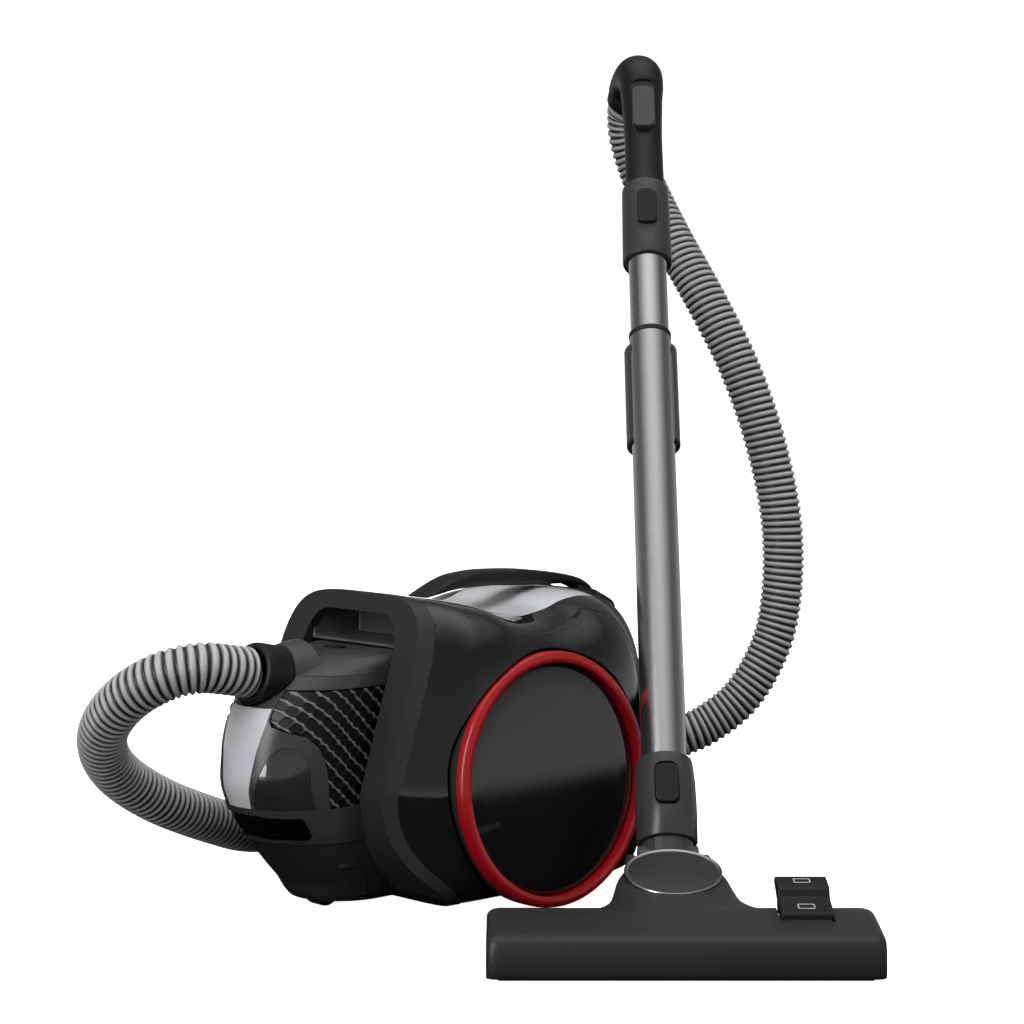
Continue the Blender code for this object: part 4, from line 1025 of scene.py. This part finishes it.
def hose_port():
    """Shoulder that the hose comes out of, and the cuff on it."""
    profile = [(17.5, -62), (36.5, -62), (36.4, -58), (35.6, -52), (33.6, -44), (31, -36), (28.6, -30),
               (27.2, -27.2), (26.2, -26.3), (20.2, -26.3), (20.2, -46), (17.5, -46)]
    socket = turned("port_shoulder", profile, PORT, 96)
    cut(socket, block("under_lid", (-60, -160, 150), (60, -100, 230), CANISTER))
    smooth_edges(socket)
    put(socket, "mid_grey", "dust_container", "hose_socket")
    cuff = [(20, -44), (20, -26), (23, -26), (24.6, -25.6), (25.4, -24.4), (25.5, -22), (25.5, -6.5),
            (25.2, -3.5), (24.3, -1.2), (22.6, 0), (20.8, 0), (20.6, -8), (15.5, -10), (15.5, -44)]
    turned_cuff = turned("canister_hose_cuff", cuff, PORT, 96)
    smooth_edges(turned_cuff, 30)
    put(turned_cuff, "matte_black", "canister_cuff", "hose_cuff_canister")


# ---- wand --------------------
def pipe(name, outer, low, high, chamfer=0.5):
    """Thin steel tube along the wand."""
    inner = outer - TUBE_WALL
    profile = [(outer - chamfer, low), (outer, low + chamfer), (outer, high - chamfer),
               (outer - chamfer, high), (inner, high), (inner, low)]
    made = turned(name, profile, WAND, 96)
    smooth_edges(made, 30)
    return made


def key_outline(width, low, high):
    return rounded(width, high - low, width / 3, (0, (low + high) / 2), 10)


def key_slot(width, low, high, front, back):
    return prism("slot", key_outline(width, low, high), front, back, "y", WAND)


def push_key(name, width, low, high, front, back):
    key = prism(name, key_outline(width, low, high), -front, -back, "y", WAND)
    soften(key, 1.3, 4, 40)
    return key


def collar(name, profile, slot):
    """Turned collar of the wand, with a slot for its button."""
    made = cut(turned(name, profile, WAND, 128), slot)
    soften(made, 0.5, 2, 45)
    return made


def wand_pieces():
    """Two steel tubes and the two collars with their buttons."""
    put(pipe("outer_tube", OUTER_TUBE, 62, 516), "steel", "lower_tube", "lower_tube")
    put(pipe("inner_tube", INNER_TUBE, 152, 648), "bright_steel", "upper_tube", "upper_tube")
    lower = [(22.6, 20), (24.2, 20.4), (25, 22), (25.4, 50), (25.2, 64), (24.6, 78), (23.4, 91),
             (22.6, 93.4), (21.8, 94), (19.4, 94), (19.4, 61.6), (17.6, 61.6), (17.6, 20)]
    made = collar("foot_collar", lower, key_slot(20.4, 45.5, 84, -40, -19.8))
    put(made, "mid_grey", "lower_tube", "lower_collar")
    made = push_key("foot_key", 19.6, 46.5, 80, 27.4, 21.3)
    put(made, "matte_black", "lower_release", "lower_release")
    upper = [(21.4, 600), (22.6, 600.6), (23, 602), (22.6, 640), (22.2, 672), (22, 683), (21.4, 685.6),
             (21, 686), (17.7, 686), (17.7, 600)]
    made = collar("top_collar", upper, key_slot(19.6, 621, 672, -40, -17.95))
    put(made, "mid_grey", "upper_tube", "handle_collar")
    made = push_key("top_key", 18.8, 632, 670, 24.6, 19.7)
    put(made, "matte_black", "handle_release", "handle_release")


def bend_frames(count):
    """Frames along the grip: up the wand, then round the gooseneck bend."""
    side = Matrix.Rotation(-NECK_BEND_SIDE, 4, "Z")
    straight = [GRIP_FROM + (NECK_BEND_FROM - GRIP_FROM) * k / 30 for k in range(31)]
    frames = [(Matrix.Translation((0, 0, z)), z) for z in straight]
    for k in range(1, count + 1):
        turn = NECK_BEND_TURN * k / count
        swing = Matrix.Translation((0, NECK_BEND_RADIUS, 0)) @ Matrix.Rotation(-turn, 4, "X")
        spot = Matrix.Translation((0, 0, NECK_BEND_FROM)) @ side @ swing
        frames.append((spot @ Matrix.Translation((0, -NECK_BEND_RADIUS, 0)), NECK_BEND_FROM + 7 * k / count))
    return frames


def grip_radius(mark):
    """The grip's radius at a mark along it."""
    table = [(686, 19.0), (700, 18.2), (740, 18.0), (790, 19.5), (808, 21.0), (812, 23.0), (818, 23.4)]
    return smooth_value(table, 1, mark)


def grip():
    """Handle grip with its gooseneck, slider and hose cuff."""
    rings = []
    for place, mark in bend_frames(36):
        radius = grip_radius(mark)
        turns = [2 * math.pi * k / 72 for k in range(72)]
        rings.append([place @ Vector((radius * math.cos(a), radius * math.sin(a), 0)) for a in turns])
    made = cut(stack("grip", rings, WAND), key_slot(23.2, 737, 806, -40, -16.4))
    soften(made, 0.6, 3, 45)
    put(made, "grip_black", "upper_tube", "handle_grip")
    slider = push_key("suction_key", 21.5, 747, 796, 22.5, 16.8)
    put(slider, "mid_grey", "suction_slider", "suction_slider")
    end = WAND @ bend_frames(36)[-1][0]
    profile = [(20.6, GAP), (22.2, 0.8), (22.6, 2.2), (22.6, 11.8), (22.2, 13.2), (21, 13.7), (15.5, 13.7),
               (15.5, GAP)]
    cuff = turned("handle_hose_cuff", profile, end, 96)
    smooth_edges(cuff, 30)
    put(cuff, "matte_black", "handle_cuff", "hose_cuff_handle")


# ---- floor head --------------------
def disc_frame():
    """Frame of the round badge on the floor head."""
    return HEAD @ Matrix.Translation(DISC_AT) @ Matrix.Rotation(DISC_TILT, 4, "X")


def pedal_pocket():
    return block("pocket", (PEDAL_X - 20.3, 40, 31.5), (PEDAL_X + 20.3, 90, 60), HEAD)


def head_bar():
    """Wide front part of the floor head, with rounded ends."""
    profile = [(1.6, HEAD_BASE), (0.6, 4.2), (0.2, 7), (0, 11), (0.1, 16), (0.5, 21), (1.4, 26), (3, 30),
               (5.6, 32.6), (10, 34), (20, 35), (40, 36.8), (60, 38.4), (74, 39.2), (78.5, 38.6),
               (81.5, 36.6), (84, 32), (84, HEAD_BASE)]
    # distance from the end, how much of 60 mm the section loses there
    ends = [(0, 9), (0.4, 6.6), (1.2, 4.6), (2.6, 2.8), (4.6, 1.3), (7, 0.4), (10, 0)]
    sections = [(-HEAD_HALF + a, d) for a, d in ends] + [(HEAD_HALF - a, d) for a, d in reversed(ends)]
    rings = []
    for x, drop in sections:
        shrink = 1 - drop / 60
        rings.append([(x, 42 + (y - 42) * shrink, HEAD_BASE + (z - HEAD_BASE) * shrink) for y, z in profile])
    bar = stack("head_bar", rings, HEAD)
    cut(bar, block("hollow", (-138, 6, -1), (138, 79, 28), HEAD), pedal_pocket())
    smooth_edges(bar, 40)
    put(bar, "dark_grey", "canister", "head_body")


def head_dome():
    """Neck of the floor head, which flares into the bar, with a round seat for the badge."""
    # distance behind the bar's front, half width, top
    stations = [(60, 106, 36.5), (72, 93, 37.6), (86, 77, 38), (104, 61, 38.4), (124, 52.5, 39.6),
                (145, 48, 44), (165, 44.5, 49.2), (182, 37, 53.5), (194, 27, 56.5), (201, 18, 57.5)]
    rings = []
    for k in range(48):
        y = 60 + 141 * k / 47
        half, top = smooth_value(stations, 1, y), smooth_value(stations, 2, y)
        rings.append(squared_ring(y, half, 4.5, top, 96, lambda s: (0.5, 0.5)))
    dome = stack("head_dome", rings, HEAD)
    cut(dome, rod("disc_seat", 39.8, -1.5, 40, disc_frame(), 128))
    cut(dome, block("hollow", (-36, 70, -1), (36, 188, 33), HEAD), pedal_pocket())
    soften(dome, 0.8, 3, 40)
    put(dome, "dark_grey", "canister")


def head_arms():
    """The two arms that hold the wand's neck."""
    arm = [(176, 24), (176, 46), (212, 50), (231, 48), (237, 38), (231, 27), (212, 24)]
    for name, side in (("left", 1), ("right", -1)):
        low, high = sorted((side * 26, side * 34))
        fork = prism(f"head_arm_{name}", arm, low, high, "x", HEAD)
        soften(fork, 2.0, 4, 20)
        put(fork, "dark_grey", "canister")


def badge():
    """Blank round disc with its metal ring."""
    r = DISC_RADIUS
    cap = [(0, -1.1), (r - 3.2, -1.1), (r - 3.2, 0.1), (r - 4.4, 0.45), (0, 0.9)]
    face = turned("badge_face", cap, disc_frame(), 128)
    smooth_edges(face, 50)
    put(face, "badge", "canister", "badge_disc")
    rim = [(r - 3.2, -1.1), (r, -1.1), (r, 0.4), (r - 0.5, 0.9), (r - 1.2, 0.9), (r - 1.7, 0.4),
           (r - 3.2, 0.2)]
    ring = turned("badge_ring", rim, disc_frame(), 128)
    smooth_edges(ring, 50)
    put(ring, "ring_steel", "canister")


def pedal():
    """Foot pedal with its two plain outlined marks."""
    profile = [(43, 37.5), (43, 41.3), (45, 43), (67, 47), (70, 48.5), (73, 54), (76, 55.8), (97, 58.6),
               (100, 57), (100.5, 54), (98, 52.5), (80, 44), (76, 36), (68, 36)]
    made = prism("rocker_pedal", profile, PEDAL_X - PEDAL_HALF, PEDAL_X + PEDAL_HALF, "x", HEAD)
    soften(made, 1.0, 3, 30)
    put(made, "matte_black", "foot_pedal", "foot_pedal")
    for name, y, z, slope in (("low", 55, 45.0, 10.3), ("high", 87, 57.4, 7.6)):
        spot = HEAD @ Matrix.Translation((PEDAL_X, y, z)) @ Matrix.Rotation(math.radians(slope), 4, "X")
        mark = prism(f"pedal_mark_{name}", rounded(13, 9, 1.6), -0.6, 0.15, "z", spot)
        cut(mark, prism("hole", rounded(11, 7, 1.0), -2, 2, "z", spot))
        put(mark, "print", "foot_pedal")


# ---- everything else --------------------
KEPT = {
    "matte_black": ("chassis", "container_button", "caster_fork", "telescope_button", "sole_plate"),
    "dark_grey": ("chin", "power_button", "rewind_button", "motor_housing", "cord_reel"),
    "mid_grey": ("wand_neck", "telescope_clasp"),
    "slot_black": ("slot_insert",),
    "rubber": ("caster_wheel", "tube_seal", "head_roller_left", "head_roller_right"),
    "copper": ("motor_core",),
    "filter": ("motor_filter", "exhaust_filter"),
    "bright_steel": ("fan", "mesh_filter"),
    "clear_grey": ("cyclone_cup",),
    "bristle": ("bristle_strip",)}


def dress_kept_nodes():
    """Looks for the model's own nodes that stay in view."""
    for look, names in KEPT.items():
        for name in names:
            dress(NODES[name], look)
            smooth_edges(NODES[name], 32)


LOOKS = finishes()
make_camera()
make_studio()
hose_pieces()
side_panels()
wheel_wells()
wheels()
rear_cover()
top_panels()
ring_frame()
carry_strap()
container_shell()
container_panes()
lid()
for side_name, side_sign in (("left", 1), ("right", -1)):
    relief = grille_relief(f"grille_net_{side_name}", side_sign)
    put(relief, "grille", "dust_container", f"grille_{side_name}")
hose_port()
wand_pieces()
grip()
head_bar()
head_dome()
head_arms()
badge()
pedal()
dress_kept_nodes()
for piece in bpy.data.objects:
    if piece.name.startswith(WAND_PIECES):
        piece.visible_glossy = False
